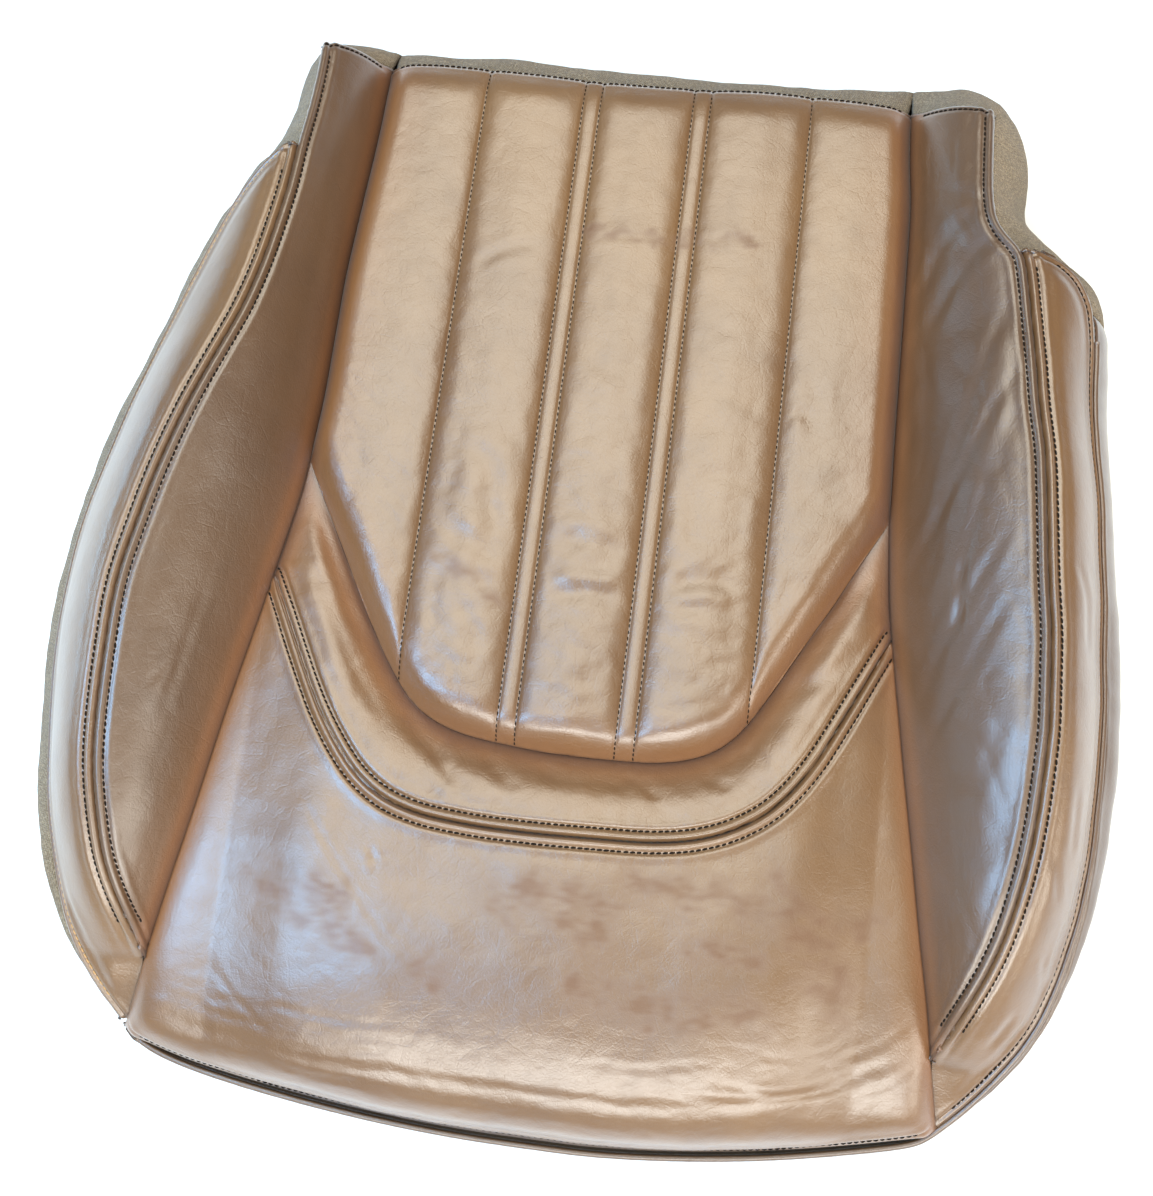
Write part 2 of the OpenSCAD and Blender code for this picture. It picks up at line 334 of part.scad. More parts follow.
module rear_flap_webbing() color(web_c) at_rear() webbing(rear_flap_l);
module left_flap_webbing() color(web_c) at_left() webbing(side_flap_l);
module right_flap_webbing() color(web_c) at_right() webbing(side_flap_l);
module front_j_channel() color(plastic_c) at_front() j_channel(front_flap_l - 20);
module rear_j_channel() color(plastic_c) at_rear() j_channel(rear_flap_l - 20);
module left_j_channel() color(plastic_c) at_left() j_channel(side_flap_l - 20);
module right_j_channel() color(plastic_c) at_right() j_channel(side_flap_l - 20);

foam_bun();
nose_foam();
centre_foam();
left_bolster_foam();
right_bolster_foam();
base_felt();
insert_wadding();
insert_cover();
thigh_band();
nose_panel();
left_bolster_inner();
left_bolster_outer();
right_bolster_inner();
right_bolster_outer();
front_fascia();
right_fascia();
left_fascia();
rear_fascia();
left_rear_gusset();
right_rear_gusset();
edge_welt();
left_listing_sleeve();
right_listing_sleeve();
front_listing_sleeve();
left_listing_wire();
right_listing_wire();
front_listing_wire();
left_anchor_wire();
right_anchor_wire();
front_anchor_wire();
hog_rings();
front_flap_webbing();
front_j_channel();
rear_flap_webbing();
rear_j_channel();
left_flap_webbing();
left_j_channel();
right_flap_webbing();
right_j_channel();
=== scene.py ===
import bpy, bmesh, json, math
import numpy as np
from mathutils import Vector, Matrix

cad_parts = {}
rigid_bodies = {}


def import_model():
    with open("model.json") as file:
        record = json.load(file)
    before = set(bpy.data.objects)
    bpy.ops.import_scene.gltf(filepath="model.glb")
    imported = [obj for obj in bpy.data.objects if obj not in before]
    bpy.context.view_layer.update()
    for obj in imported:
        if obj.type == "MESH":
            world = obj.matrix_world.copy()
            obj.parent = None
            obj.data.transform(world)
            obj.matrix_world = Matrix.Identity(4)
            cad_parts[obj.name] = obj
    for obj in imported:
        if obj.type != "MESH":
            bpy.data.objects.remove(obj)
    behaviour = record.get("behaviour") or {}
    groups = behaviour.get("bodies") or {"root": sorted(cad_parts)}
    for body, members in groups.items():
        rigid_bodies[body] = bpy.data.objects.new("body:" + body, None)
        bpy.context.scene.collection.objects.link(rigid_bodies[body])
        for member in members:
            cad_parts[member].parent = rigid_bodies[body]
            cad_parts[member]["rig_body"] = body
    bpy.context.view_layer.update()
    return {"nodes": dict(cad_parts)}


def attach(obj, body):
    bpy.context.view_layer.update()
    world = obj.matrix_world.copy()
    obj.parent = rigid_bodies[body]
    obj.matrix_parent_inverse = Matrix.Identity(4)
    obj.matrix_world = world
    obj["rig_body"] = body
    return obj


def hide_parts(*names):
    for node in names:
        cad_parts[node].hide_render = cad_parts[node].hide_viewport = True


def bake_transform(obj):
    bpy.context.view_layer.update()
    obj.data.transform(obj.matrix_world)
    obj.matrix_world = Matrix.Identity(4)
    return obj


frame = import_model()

MM = 0.001
RNG = np.random.RandomState(7)

# ------------------------------------------------------------------ noise
_perm = {}
def _grad(seed):
    if seed not in _perm:
        r = np.random.RandomState(1000 + seed)
        a = r.rand(256) * 2 * np.pi
        _perm[seed] = (r.permutation(256), np.cos(a), np.sin(a))
    return _perm[seed]
def noise2(x, y, scale, seed=0):
    """smooth gradient noise in about -1..1; x, y in mm, scale is the feature size"""
    p, gx, gy = _grad(seed)
    x = np.asarray(x, float) / scale; y = np.asarray(y, float) / scale
    xi = np.floor(x).astype(int); yi = np.floor(y).astype(int)
    xf = x - xi; yf = y - yi
    def g(i, j):
        k = p[(p[(xi + i) & 255] + yi + j) & 255]
        return gx[k] * (xf - i) + gy[k] * (yf - j)
    u = xf * xf * xf * (xf * (xf * 6 - 15) + 10); v = yf * yf * yf * (yf * (yf * 6 - 15) + 10)
    a = g(0, 0) + u * (g(1, 0) - g(0, 0)); b = g(0, 1) + u * (g(1, 1) - g(0, 1))
    return (a + v * (b - a)) * 1.5

# ------------------------------------------------------------------ curves
def dense(pts, step=1.0, sigma=7.0):
    """resample a polyline every step mm and smooth it, keeping its ends"""
    p = np.array(pts, float)
    s = np.r_[0, np.cumsum(np.linalg.norm(np.diff(p, axis=0), axis=1))]
    n = max(4, int(s[-1] / step) + 1)
    t = np.linspace(0, s[-1], n)
    q = np.stack([np.interp(t, s, p[:, k]) for k in range(p.shape[1])], 1)
    if sigma > 0:
        w = int(3 * sigma / step)
        w = min(w, n - 2)
        k = np.exp(-0.5 * (np.arange(-w, w + 1) * step / sigma) ** 2); k /= k.sum()
        a = 2 * q[0] - q[1:w + 1][::-1]; b = 2 * q[-1] - q[-w - 1:-1][::-1]
        e = np.vstack([a, q, b])
        q = np.stack([np.convolve(e[:, c], k, "valid") for c in range(p.shape[1])], 1)
    return q
class Fn:
    """one coordinate of a curve as a function of another"""
    def __init__(self, c, key, val):
        o = np.argsort(c[:, key]); self.k = c[o, key]; self.v = c[o, val]
    def __call__(self, t): return np.interp(t, self.k, self.v)

tuckL = dense([(-196,-252,54),(-186,-220,76),(-179,-183,82),(-173,-151,85),(-165,-95,85),(-160,-64,84),(-155,-35,84),(-147,17,84),(-146,32,84),(-144,65,84),(-144,133,84),(-142,168,84),(-139,215,84),(-138,254,84)], 1, 8)
tuckR = dense([(193,-250,54),(184,-216,76),(181,-198,79),(174,-166,84),(166,-120,85),(161,-93,85),(157,-68,84),(151,-34,84),(147,-7,84),(144,32,84),(143,70,84),(142,139,84),(141,203,84),(138,229,84),(137,255,84)], 1, 8)
useam = dense([(-146,32,85),(-133,8,85),(-119,-17,85),(-106,-41,85),(-94,-61,85),(-85,-74,85),(-76,-85,85),(-65,-92,85),(-50,-97,85),(-33,-99,85),(-10,-101,85),(17,-101,85),(43,-100,85),(58,-97,85),(70,-92,85),(79,-85,85),(87,-74,85),(95,-60,85),(106,-39,85),(120,-14,85),(132,10,85),(144,32,85)], 1, 6)
twin = dense([(-153,-30,88),(-142,-50,90),(-130,-73,93),(-119,-93,96),(-107,-110,98),(-95,-124,98),(-80,-134,99),(-61,-139,99),(-33,-141,99),(-5,-141,100),(20,-140,100),(44,-139,99),(64,-136,99),(81,-130,99),(97,-120,98),(109,-107,98),(120,-90,96),(130,-69,93),(140,-48,91),(150,-27,88)], 1, 7)
ridgeL = dense([(-186,-219,77),(-191,-206,92),(-197,-194,102),(-204,-178,110),(-208,-159,118),(-212,-139,124),(-213.5,-118,128),(-214,-98,131),(-214,-62,136),(-213,-45,137),(-210,-27,137),(-206,-4,138),(-201,17,139),(-195,38,140),(-187,63,139),(-179,89,136),(-174,114,134),(-171,140,132),(-169,162,130),(-169,184,128),(-168,205,124),(-168,232,120),(-169,247,118)], 1, 8)
ridgeR = dense([(185,-219,77),(190,-206,92),(195,-194,102),(201,-180,109),(206,-164,116),(209,-149,122),(212,-132,126),(214,-115,129),(215,-98,132),(216,-72,136),(215,-49,137),(214,-26,138),(211,-3,139),(208,33,140),(206,58,139),(202,82,137),(200,101,136),(197,123,134),(194,145,133),(191.5,160,132),(183,169.5,129),(178,178,127),(176,193,125),(175.5,216,121),(175,242,118)], 1, 5)
edgeL = dense([(-196,-252,54),(-210,-237,62),(-220,-223,69),(-228,-208,74),(-234,-191,78),(-240,-170,83),(-244,-151,88),(-248,-118,93),(-251,-90,96),(-252,-65,98),(-251,-34,100),(-249,-13,101),(-245,7,102),(-241,25,103),(-236,45,105),(-229,70,106),(-222,92,108),(-216,112,109),(-208,136,111),(-199,157,115),(-188,173,121),(-177,183,126),(-169,186,128)], 1, 6)
edgeR = dense([(193,-250,54),(206,-236,61),(215,-224,68),(224,-211,73),(232,-196,77),(238,-176,83),(244,-148,89),(247,-120,94),(248,-85,97),(248,-50,99),(246,-26,100),(245,-2,102),(242,23,104),(240,47,106),(236,72,107),(233,95,109),(232,126,111),(229,143,115),(221,154,121),(210,160,126),(198,162,130),(191.5,162.5,132)], 1, 4)
front = dense([(-196,-252,54),(-182,-256,53),(-163,-261,52),(-134,-266,52),(-104,-270,52),(-75,-273,52),(-47,-275,52),(-19,-276,52),(5,-276,52),(32,-276,52),(60,-274,52),(87,-271,52),(115,-267,52),(141,-262,52),(168,-256,53),(193,-250,54)], 1, 8)
rear = dense([(-138,254,84),(-117,256.5,85),(-87,256.5,86),(-34,255,88),(0,254.5,89),(32,256,89),(59,257.5,87),(85,257.5,86),(110,257,85),(137,255,84)], 1, 8)
front_y, twin_y, u_y, rear_yx = Fn(front, 0, 1), Fn(twin, 0, 1), Fn(useam, 0, 1), Fn(rear, 0, 1)
front_z, twin_z, rear_z = Fn(front, 0, 2), Fn(twin, 0, 2), Fn(rear, 0, 2)
tLx, tLz, tRx, tRz = Fn(tuckL, 1, 0), Fn(tuckL, 1, 2), Fn(tuckR, 1, 0), Fn(tuckR, 1, 2)
PLEATS = [-84, -33, -24, 24, 33, 85]

def dist(P, C, dims=2):
    """distance from each point of P (...,3) to the polyline's points, and the index of the nearest"""
    q = P.reshape(-1, 3)[:, :dims]; c = C[:, :dims]
    out = np.empty(len(q)); idx = np.empty(len(q), int)
    for i in range(0, len(q), 4000):
        d = ((q[i:i + 4000, None, :] - c[None]) ** 2).sum(2)
        k = d.argmin(1); idx[i:i + 4000] = k; out[i:i + 4000] = np.sqrt(d[np.arange(len(k)), k])
    return out.reshape(P.shape[:-1]), idx.reshape(P.shape[:-1])
def roll(q, p=2.4): return 1 - (1 - np.clip(q, 0, 1)) ** p
def sm(a, b, x):
    t = np.clip((x - a) / (b - a), 0, 1); return t * t * (3 - 2 * t)
def spaced(length, fine, coarse, zone, ends=(1, 1), marks=()):
    """positions 0..1 along length mm, close together near the ends and near any marks (mm)"""
    x = [0.0]
    while x[-1] < length:
        d = 1e9
        if ends[0]: d = min(d, x[-1])
        if ends[1]: d = min(d, length - x[-1])
        for m in marks: d = min(d, abs(m - x[-1]))
        s = fine + (coarse - fine) * sm(zone * 0.35, zone * 1.6, d)
        x.append(x[-1] + s)
    x = np.array(x); return x / x[-1]

def normals(P):
    du = np.gradient(P, axis=1); dv = np.gradient(P, axis=0)
    n = np.cross(du, dv); l = np.linalg.norm(n, axis=2, keepdims=True)
    n = n / np.maximum(l, 1e-9)
    return n

# ------------------------------------------------------------------ creases and dents, as strokes on the plan
class Stroke:
    def __init__(self, pts, depth, width, lip=0.5, taper=0.25):
        self.c = dense([(x, y, 0) for x, y in pts], 1.0, 5)
        self.depth, self.width, self.lip, self.taper = depth, width, lip, taper
        self.lo = self.c[:, :2].min(0) - 5 * width; self.hi = self.c[:, :2].max(0) + 5 * width
    def __call__(self, P):
        h = np.zeros(P.shape[:-1])
        m = (P[..., 0] > self.lo[0]) & (P[..., 0] < self.hi[0]) & (P[..., 1] > self.lo[1]) & (P[..., 1] < self.hi[1])
        if not m.any(): return h
        q = P[m][None]; d, i = dist(q, self.c)
        s = i / (len(self.c) - 1.0)
        w = sm(0, self.taper, s) * sm(0, self.taper, 1 - s)
        g = -np.exp(-(d / self.width) ** 2) + self.lip * np.exp(-((d - 1.9 * self.width) / self.width) ** 2)
        h[m] = (self.depth * w * g)[0]
        return h

def seam_profile(d, along=None, row=5.0, seed=200):
    """a twin-needle seam: narrow groove at d = 0, rounded lips, a pulled-in stitch row at d = row, and puckers outside it"""
    h = (-2.3 * np.exp(-(d / 0.6) ** 1.5) + 0.95 * np.exp(-((d - 2.3) / 1.25) ** 2)
         - 1.05 * np.exp(-((d - row) / 0.8) ** 2) + 0.55 * np.exp(-((d - row - 2.5) / 1.7) ** 2))
    if along is not None:
        h = h + 0.20 * np.exp(-((d - row - 1.6) / 1.5) ** 2) * noise2(along, d * 0.25, 1.9, seed) + 0.16 * np.exp(-((d - row - 5) / 4) ** 2) * noise2(along, d * 0.3, 5.0, seed + 1)
    return h
def edge_row(d, row=3.4):
    """a single stitch row close to an edge"""
    return -0.85 * np.exp(-((d - row) / 0.8) ** 2) + 0.40 * np.exp(-((d - row - 2.4) / 1.5) ** 2) - 0.5 * np.exp(-(d / 0.8) ** 2) + 0.25 * np.exp(-((d - 1.6) / 0.9) ** 2)
def ridged(x, y, scale, seed):
    """noise with sharp narrow valleys, for the crease lines of bent leather"""
    return -(1 - np.abs(noise2(x, y, scale, seed))) ** 5
def fall(u): return 1 - 1.3 * u * u + 0.3 * u ** 5
STAINS = [([(-132,-178),(-111,-189),(-80,-203)], 6.5), ([(-113,-175),(-93,-182)], 5), ([(43,-156),(99,-163),(149,-165)], 6), ([(118,-169),(142,-189)], 8), ([(126,-196),(139,-201)], 6), ([(9,-179),(28,-185)], 6),
          ([(74,-184),(101,-185)], 4.5), ([(-20,163),(5,164),(31,165)], 2.4), ([(36,165),(66,167)], 1.8), ([(-71,-16),(-55,-24),(-39,-32)], 3), ([(20,-205),(60,-214),(100,-208)], 7), ([(-20,-172),(10,-168),(30,-172)], 7),
          ([(108,-150),(118,-172)], 7), ([(-52,-207),(-40,-213)], 5), ([(202,-214),(206,-208)], 4)]
def stain_field(x, y):
    f = np.zeros(x.shape); wx = x + 7 * noise2(x, y, 15, 212) + 3 * noise2(x, y, 6, 213); wy = y + 6 * noise2(x, y, 12, 214) + 3 * noise2(x, y, 5, 215)
    P = np.stack([wx, wy, 0 * x], -1)
    for pts, w in STAINS:
        c = dense([(a, b, 0) for a, b in pts], 1.5, 4); lo, hi = c[:, :2].min(0) - 4 * w - 10, c[:, :2].max(0) + 4 * w + 10
        m = (x > lo[0]) & (x < hi[0]) & (y > lo[1]) & (y < hi[1])
        if m.any():
            d, _ = dist(P[m][None], c); f[m] = np.maximum(f[m], np.exp(-(d[0] / (1.25 * w)) ** 2))
    n = 0.5 + 0.6 * noise2(x, y * 1.5, 11, 210) + 0.5 * noise2(x * 0.7, y * 2.0, 5, 211)
    return np.clip(f * (0.15 + 1.1 * np.clip(n, 0, 1.2)), 0, 1)


# ------------------------------------------------------------------ mesh output
def make_mesh(name, V, F, uv=None, attrs=None, smooth=True):
    me = bpy.data.meshes.new(name)
    V = np.asarray(V, float)
    me.from_pydata((V * MM).tolist(), [], [list(map(int, f)) for f in F])
    me.update()
    if smooth: me.polygons.foreach_set("use_smooth", [True] * len(me.polygons))
    if uv is not None:
        lay = me.uv_layers.new(name="flat")
        li = np.empty(len(me.loops), np.int32); me.loops.foreach_get("vertex_index", li)
        lay.data.foreach_set("uv", (np.asarray(uv)[li] * MM).astype(np.float32).ravel())
    for k, a in (attrs or {}).items():
        at = me.attributes.new(k, "FLOAT", "POINT"); at.data.foreach_set("value", np.asarray(a, np.float32).ravel())
    o = bpy.data.objects.new(name, me); bpy.context.scene.collection.objects.link(o)
    return o

def grid_faces(n, m, off=0, flip=False):
    i, j = np.meshgrid(np.arange(n - 1), np.arange(m - 1), indexing="ij")
    a = off + i * m + j; b = a + 1; c = b + m; d = a + m
    q = np.stack([a, b, c, d], -1).reshape(-1, 4)
    return q[:, ::-1] if flip else q

def shell(name, P, N, thick=1.6, attrs=None, uv=None, rim=True):
    """closed thin shell: P is the outer face (n, m, 3) in mm, with x across and y along so that its normals face out"""
    n, m = P.shape[:2]
    Q = P - N * thick
    V = np.vstack([P.reshape(-1, 3), Q.reshape(-1, 3)])
    k = n * m
    F = [grid_faces(n, m), grid_faces(n, m, k, True)]
    def strip(ix):
        ix = np.asarray(ix); a, b = ix[:-1], ix[1:]
        return np.stack([b, a, a + k, b + k], -1)
    F.append(strip(np.arange(m)))
    F.append(strip(np.arange(n) * m + m - 1))
    F.append(strip((n - 1) * m + np.arange(m)[::-1]))
    F.append(strip(np.arange(n)[::-1] * m))
    F = np.vstack(F)
    at = {kk: np.concatenate([a.ravel(), a.ravel()]) for kk, a in (attrs or {}).items()}
    uu = None
    if uv is not None: uu = np.vstack([uv.reshape(-1, 2), uv.reshape(-1, 2)])
    o = make_mesh(name, V, F, uu, at)
    return o

# ------------------------------------------------------------------ the surfaces
TZ = 84.0
def half(y):
    return -tLx(y), tRx(y)

def centre_grid(A, B, ts, cols, pin=0.0):
    """A, B: (fn y(x), left end point, right end point). cols run -1..1 and stay at constant x inside +-pin mm"""
    fa, (axl, ayl), (axr, ayr) = A; fb, (bxl, byl), (bxr, byr) = B
    t = ts[:, None]; f = cols[None, :]
    yl = ayl + (byl - ayl) * t; yr = ayr + (byr - ayr) * t
    def xs(l, r):   # column positions for half widths l (left) and r (right)
        w = np.where(f < 0, l, r); a = np.abs(f) * 144.5
        x = np.where(a <= pin, a, pin + (a - pin) * (w - pin) / (144.5 - pin)) if pin > 0 else np.abs(f) * w
        return np.sign(f) * x
    x0 = xs(-axl, axr); x1 = xs(-bxl, bxr)
    x = xs(-tLx(yl), tRx(yr))
    y = fa(x0) * (1 - t) + fb(x1) * t
    # the sides meet the tuck curves at their own heights
    return x, y, x0 + 0 * t, x1 + 0 * t, t + 0 * f, yl, yr

def tuck_d(x, y):
    """distance to the tuck seams, and their height there"""
    l = x - tLx(y); r = tRx(y) - x
    w = sm(-30, 30, x)
    return np.minimum(l, r), tLz(y) * (1 - w) + tRz(y) * w

def make_insert():
    marks = [144.5 + p for p in PLEATS]
    cols = spaced(289, 0.7, 1.9, 7, marks=marks) * 2 - 1
    # snap columns so that each stitch line has its own
    for p in PLEATS:
        k = np.abs(cols * 144.5 - p).argmin(); cols[k] = p / 144.5
    ts = spaced(300, 0.8, 1.9, 10)
    A = (u_y, (-146, 32), (144, 32)); B = (rear_yx, (-138, 254), (137, 255))
    x, y, *_ = centre_grid(A, B, ts, cols, pin=97)
    P0 = np.stack([x, y, 0 * x], -1)
    dt, tz = tuck_d(x, y); dt = np.maximum(dt, 0)
    du, _ = dist(P0, useam)
    dr = np.maximum(0, rear_yx(x) - y)
    crown = 13.5 + 1.5 * (1 - (x / 145) ** 2)
    z = tz * 0 + TZ + 1 + crown * roll(du / 17, 2.6) - 9.5 * (1 - roll(dr / 24, 2.2)) * 1.0
    z = tz + (z - tz) * roll(dt / 15, 2.6)
    zr = rear_z(x)
    # pleats: puffs with rounded shoulders, and two narrow strips
    d = np.min([np.abs(x - p) for p in PLEATS], 0)
    strip = ((x > -33) & (x < -24)) | ((x > 24) & (x < 33))
    puff = np.where(strip, 0.9 * (1 - (1 - np.clip(d / 4.5, 0, 1)) ** 2), 3.0 * roll(d / 13, 2.3) + 0.8 * sm(8, 26, d))
    fade = sm(0, 16, du) * (0.35 + 0.65 * sm(0, 20, dr))
    z = z + (puff - 3.0) * fade
    P = np.stack([x, y, z], -1); N = normals(P)
    open_ = sm(2, 14, np.minimum(np.minimum(dt, du), dr))
    h = -0.55 * np.exp(-(d / 0.8) ** 2) * sm(0, 6, du)                                  # thread sunk into the line
    pk = np.exp(-((d - 3.0) / 2.6) ** 2) * np.where(strip, 0.3, 1.0)
    h += 0.22 * pk * noise2(x * 0.35, y, 5.5, 3) * open_                                   # needle puckers
    h += 0.30 * np.exp(-((d - 7) / 5) ** 2) * noise2(x * 0.5, y, 14, 4) * open_ * np.where(strip, 0, 1)
    loose = (0.55 + 0.45 * sm(-60, 60, 100 - y)) * open_ * np.where(strip, 0.15, sm(3, 12, d))
    low = sm(90, -20, y)
    h += 0.62 * loose * (0.85 * noise2(x, y, 36, 5) + (0.25 + 0.35 * low) * noise2(x, y * 1.5, 14, 6) + 0.16 * noise2(x, y * 1.3, 6.0, 7) + 0.07 * noise2(x, y, 3.2, 8) + (0.25 + 0.35 * low) * ridged(x * 0.8, y * 1.5, 19, 9) + 0.16 * ridged(x, y * 1.2, 8, 10))
    for s in INSERT_STROKES: h += 0.62 * s(P) * open_ * np.where(strip, 0.35, 1)
    h += -0.5 * np.exp(-(dr / 1.2) ** 2) + edge_row(dr, 2.2) * 0.6
    P = P + N * h[..., None]
    wear = np.clip(0.35 * sm(8, 16, d) + 0.25 * noise2(x, y, 30, 11) + 0.12, 0, 1)
    return panel("insert_leather", P, ["insert_cover"], flange=(7, 0, 7, 7), depth_attr=np.minimum(dt, du + 6), wear=wear, seamd=d + 1.2, stain=stain_field(x, y))

def fit_side(z, tz, dt, width, p=2.4):
    return tz + (z - tz) * roll(dt / width, p)

def make_band():
    cols = spaced(330, 0.9, 1.7, 8) * 2 - 1
    ts = spaced(44, 0.45, 1.1, 7)
    A = (twin_y, (-153, -30), (150, -27)); B = (u_y, (-146, 32), (144, 32))
    x, y, *_ = centre_grid(A, B, ts, cols)
    P0 = np.stack([x, y, 0 * x], -1)
    dt, tz = tuck_d(x, y); dt = np.maximum(dt, 0)
    du, _ = dist(P0, useam); dw, iw = dist(P0, twin)
    q = dw / (dw + du + 1e-6)
    z = twin_z(x) + (TZ + 1 - twin_z(x)) * q ** 2.2 + 2.2 * np.sin(np.pi * q) * sm(6, 24, dt)
    z = fit_side(z, tz, dt, 15)
    P = np.stack([x, y, z], -1); N = normals(P)
    h = seam_profile(dw, iw * 1.0, seed=202) * (0.35 + 0.65 * sm(0, 6, dt))
    o = sm(3, 12, dw) * sm(1, 9, du) * sm(1, 9, dt)
    a = np.arctan2(y - 40, x)       # wrinkles run across the band
    h += 0.6 * o * (1.0 * noise2(a * 95, q * 12, 17, 21) + 0.5 * noise2(a * 95, q * 8, 8, 22) + 0.2 * noise2(x, y, 6, 23) + 0.5 * ridged(a * 95, q * 9, 12, 24))
    for s in BAND_STROKES: h += 0.5 * s(P) * sm(1.5, 6, dw) * sm(0.5, 4, du)
    P = P + N * h[..., None]
    return panel("thigh_band_leather", P, ["thigh_band"], flange=(2.5, 7, 7, 7), depth_attr=np.minimum(dt, du), wear=0.25 + 0 * x, seamd=dw)

def make_nose():
    cols = spaced(390, 0.9, 1.9, 10) * 2 - 1
    A = (front_y, (-196, -252), (193, -250)); B = (twin_y, (-153, -30), (150, -27))
    # rows closer together on the front roll, where the surface turns down
    base = spaced(190, 0.6, 1.6, 9, ends=(0, 1))
    front_rows = np.array([0, 0.0004, 0.001, 0.002, 0.0033, 0.005, 0.007, 0.0095, 0.0125, 0.016, 0.020, 0.0245, 0.029, 0.034, 0.040, 0.046, 0.052, 0.059, 0.066, 0.074, 0.082, 0.09, 0.098, 0.106])
    ts = np.r_[front_rows, base[base > 0.112]]
    x, y, x0, x1, t, yl, yr = centre_grid(A, B, ts, cols)
    P0 = np.stack([x, y, 0 * x], -1)
    dt, tz = tuck_d(x, y); dt = np.maximum(dt, 0)
    dw, iw = dist(P0, twin)
    fy = front_y(x); q = np.clip((y - fy) / (twin_y(np.clip(x, -153, 150)) - fy), 0, 1)
    z0 = front_z(np.clip(x, -196, 193)); zw = twin_z(np.clip(x, -153, 150))
    z = z0 + (zw - z0) * (1 - (1 - q) ** 3.3) ** (1 / 3.3) + 1.4 * np.sin(np.pi * np.clip(q, 0, 1)) ** 2
    side = roll(dt / 25, 3.5)
    corner = sm(0, 26, np.abs(y - fy))
    z = tz + (z - tz) * np.where(y < -236, np.maximum(side, sm(14, 0, np.minimum(y + 250, 14)) * 0.0), side)
    # the seam at the foot of the front roll turns out a little over its welt
    y = y - 0.4 * np.sin(np.pi * np.clip((z - 53) / 42.0, 0, 1)) * sm(0.14, 0.0, q) * sm(0, 30, dt)
    df = np.linalg.norm(np.stack([x, y, z], -1) - np.stack([x, fy, z0], -1), axis=-1)
    y = y - 3.4 * np.exp(-(df / 8.0) ** 2) * sm(0, 8, dt + 1.0)
    P = np.stack([x, y, z], -1); N = normals(P)
    h = seam_profile(dw, iw * 1.0, seed=204) * (0.35 + 0.65 * sm(0, 6, dt)) + edge_row(df, 6.5) * sm(0, 8, dt)
    o = sm(3, 16, dw) * sm(2, 14, dt) * sm(3, 12, df)
    h += o * (0.8 * noise2(x, y, 60, 31) + 0.28 * noise2(x, y, 22, 32) + 0.10 * noise2(x, y, 9, 33))
    fr = np.exp(-((df - 34) / 24) ** 2) * sm(3, 12, dt)
    h += 0.3 * o * fr * (0.26 * noise2(x * 0.35, y * 1.6, 7, 34) + 0.14 * noise2(x * 0.6, y * 1.5, 3.6, 35) + 0.42 * ridged(x * 0.42 + y * 0.3, y * 1.5, 11, 36) + 0.26 * ridged(x * 0.7 - y * 0.5, y, 6, 37))    # slack leather on the front roll
    h += o * 0.10 * ridged(x, y, 9, 38) * (0.4 + 0.6 * sm(-120, -220, y))
    for s in NOSE_STROKES: h += 0.42 * s(P)
    P = P + N * h[..., None]
    return panel("nose_leather", P, ["nose_panel"], flange=(0.8, 2.5, 7, 7), depth_attr=np.minimum(dt + 5, dw + 20), wear=0.2 + 0 * x, seamd=np.minimum(dw, df + 1.3), stain=stain_field(x, y))

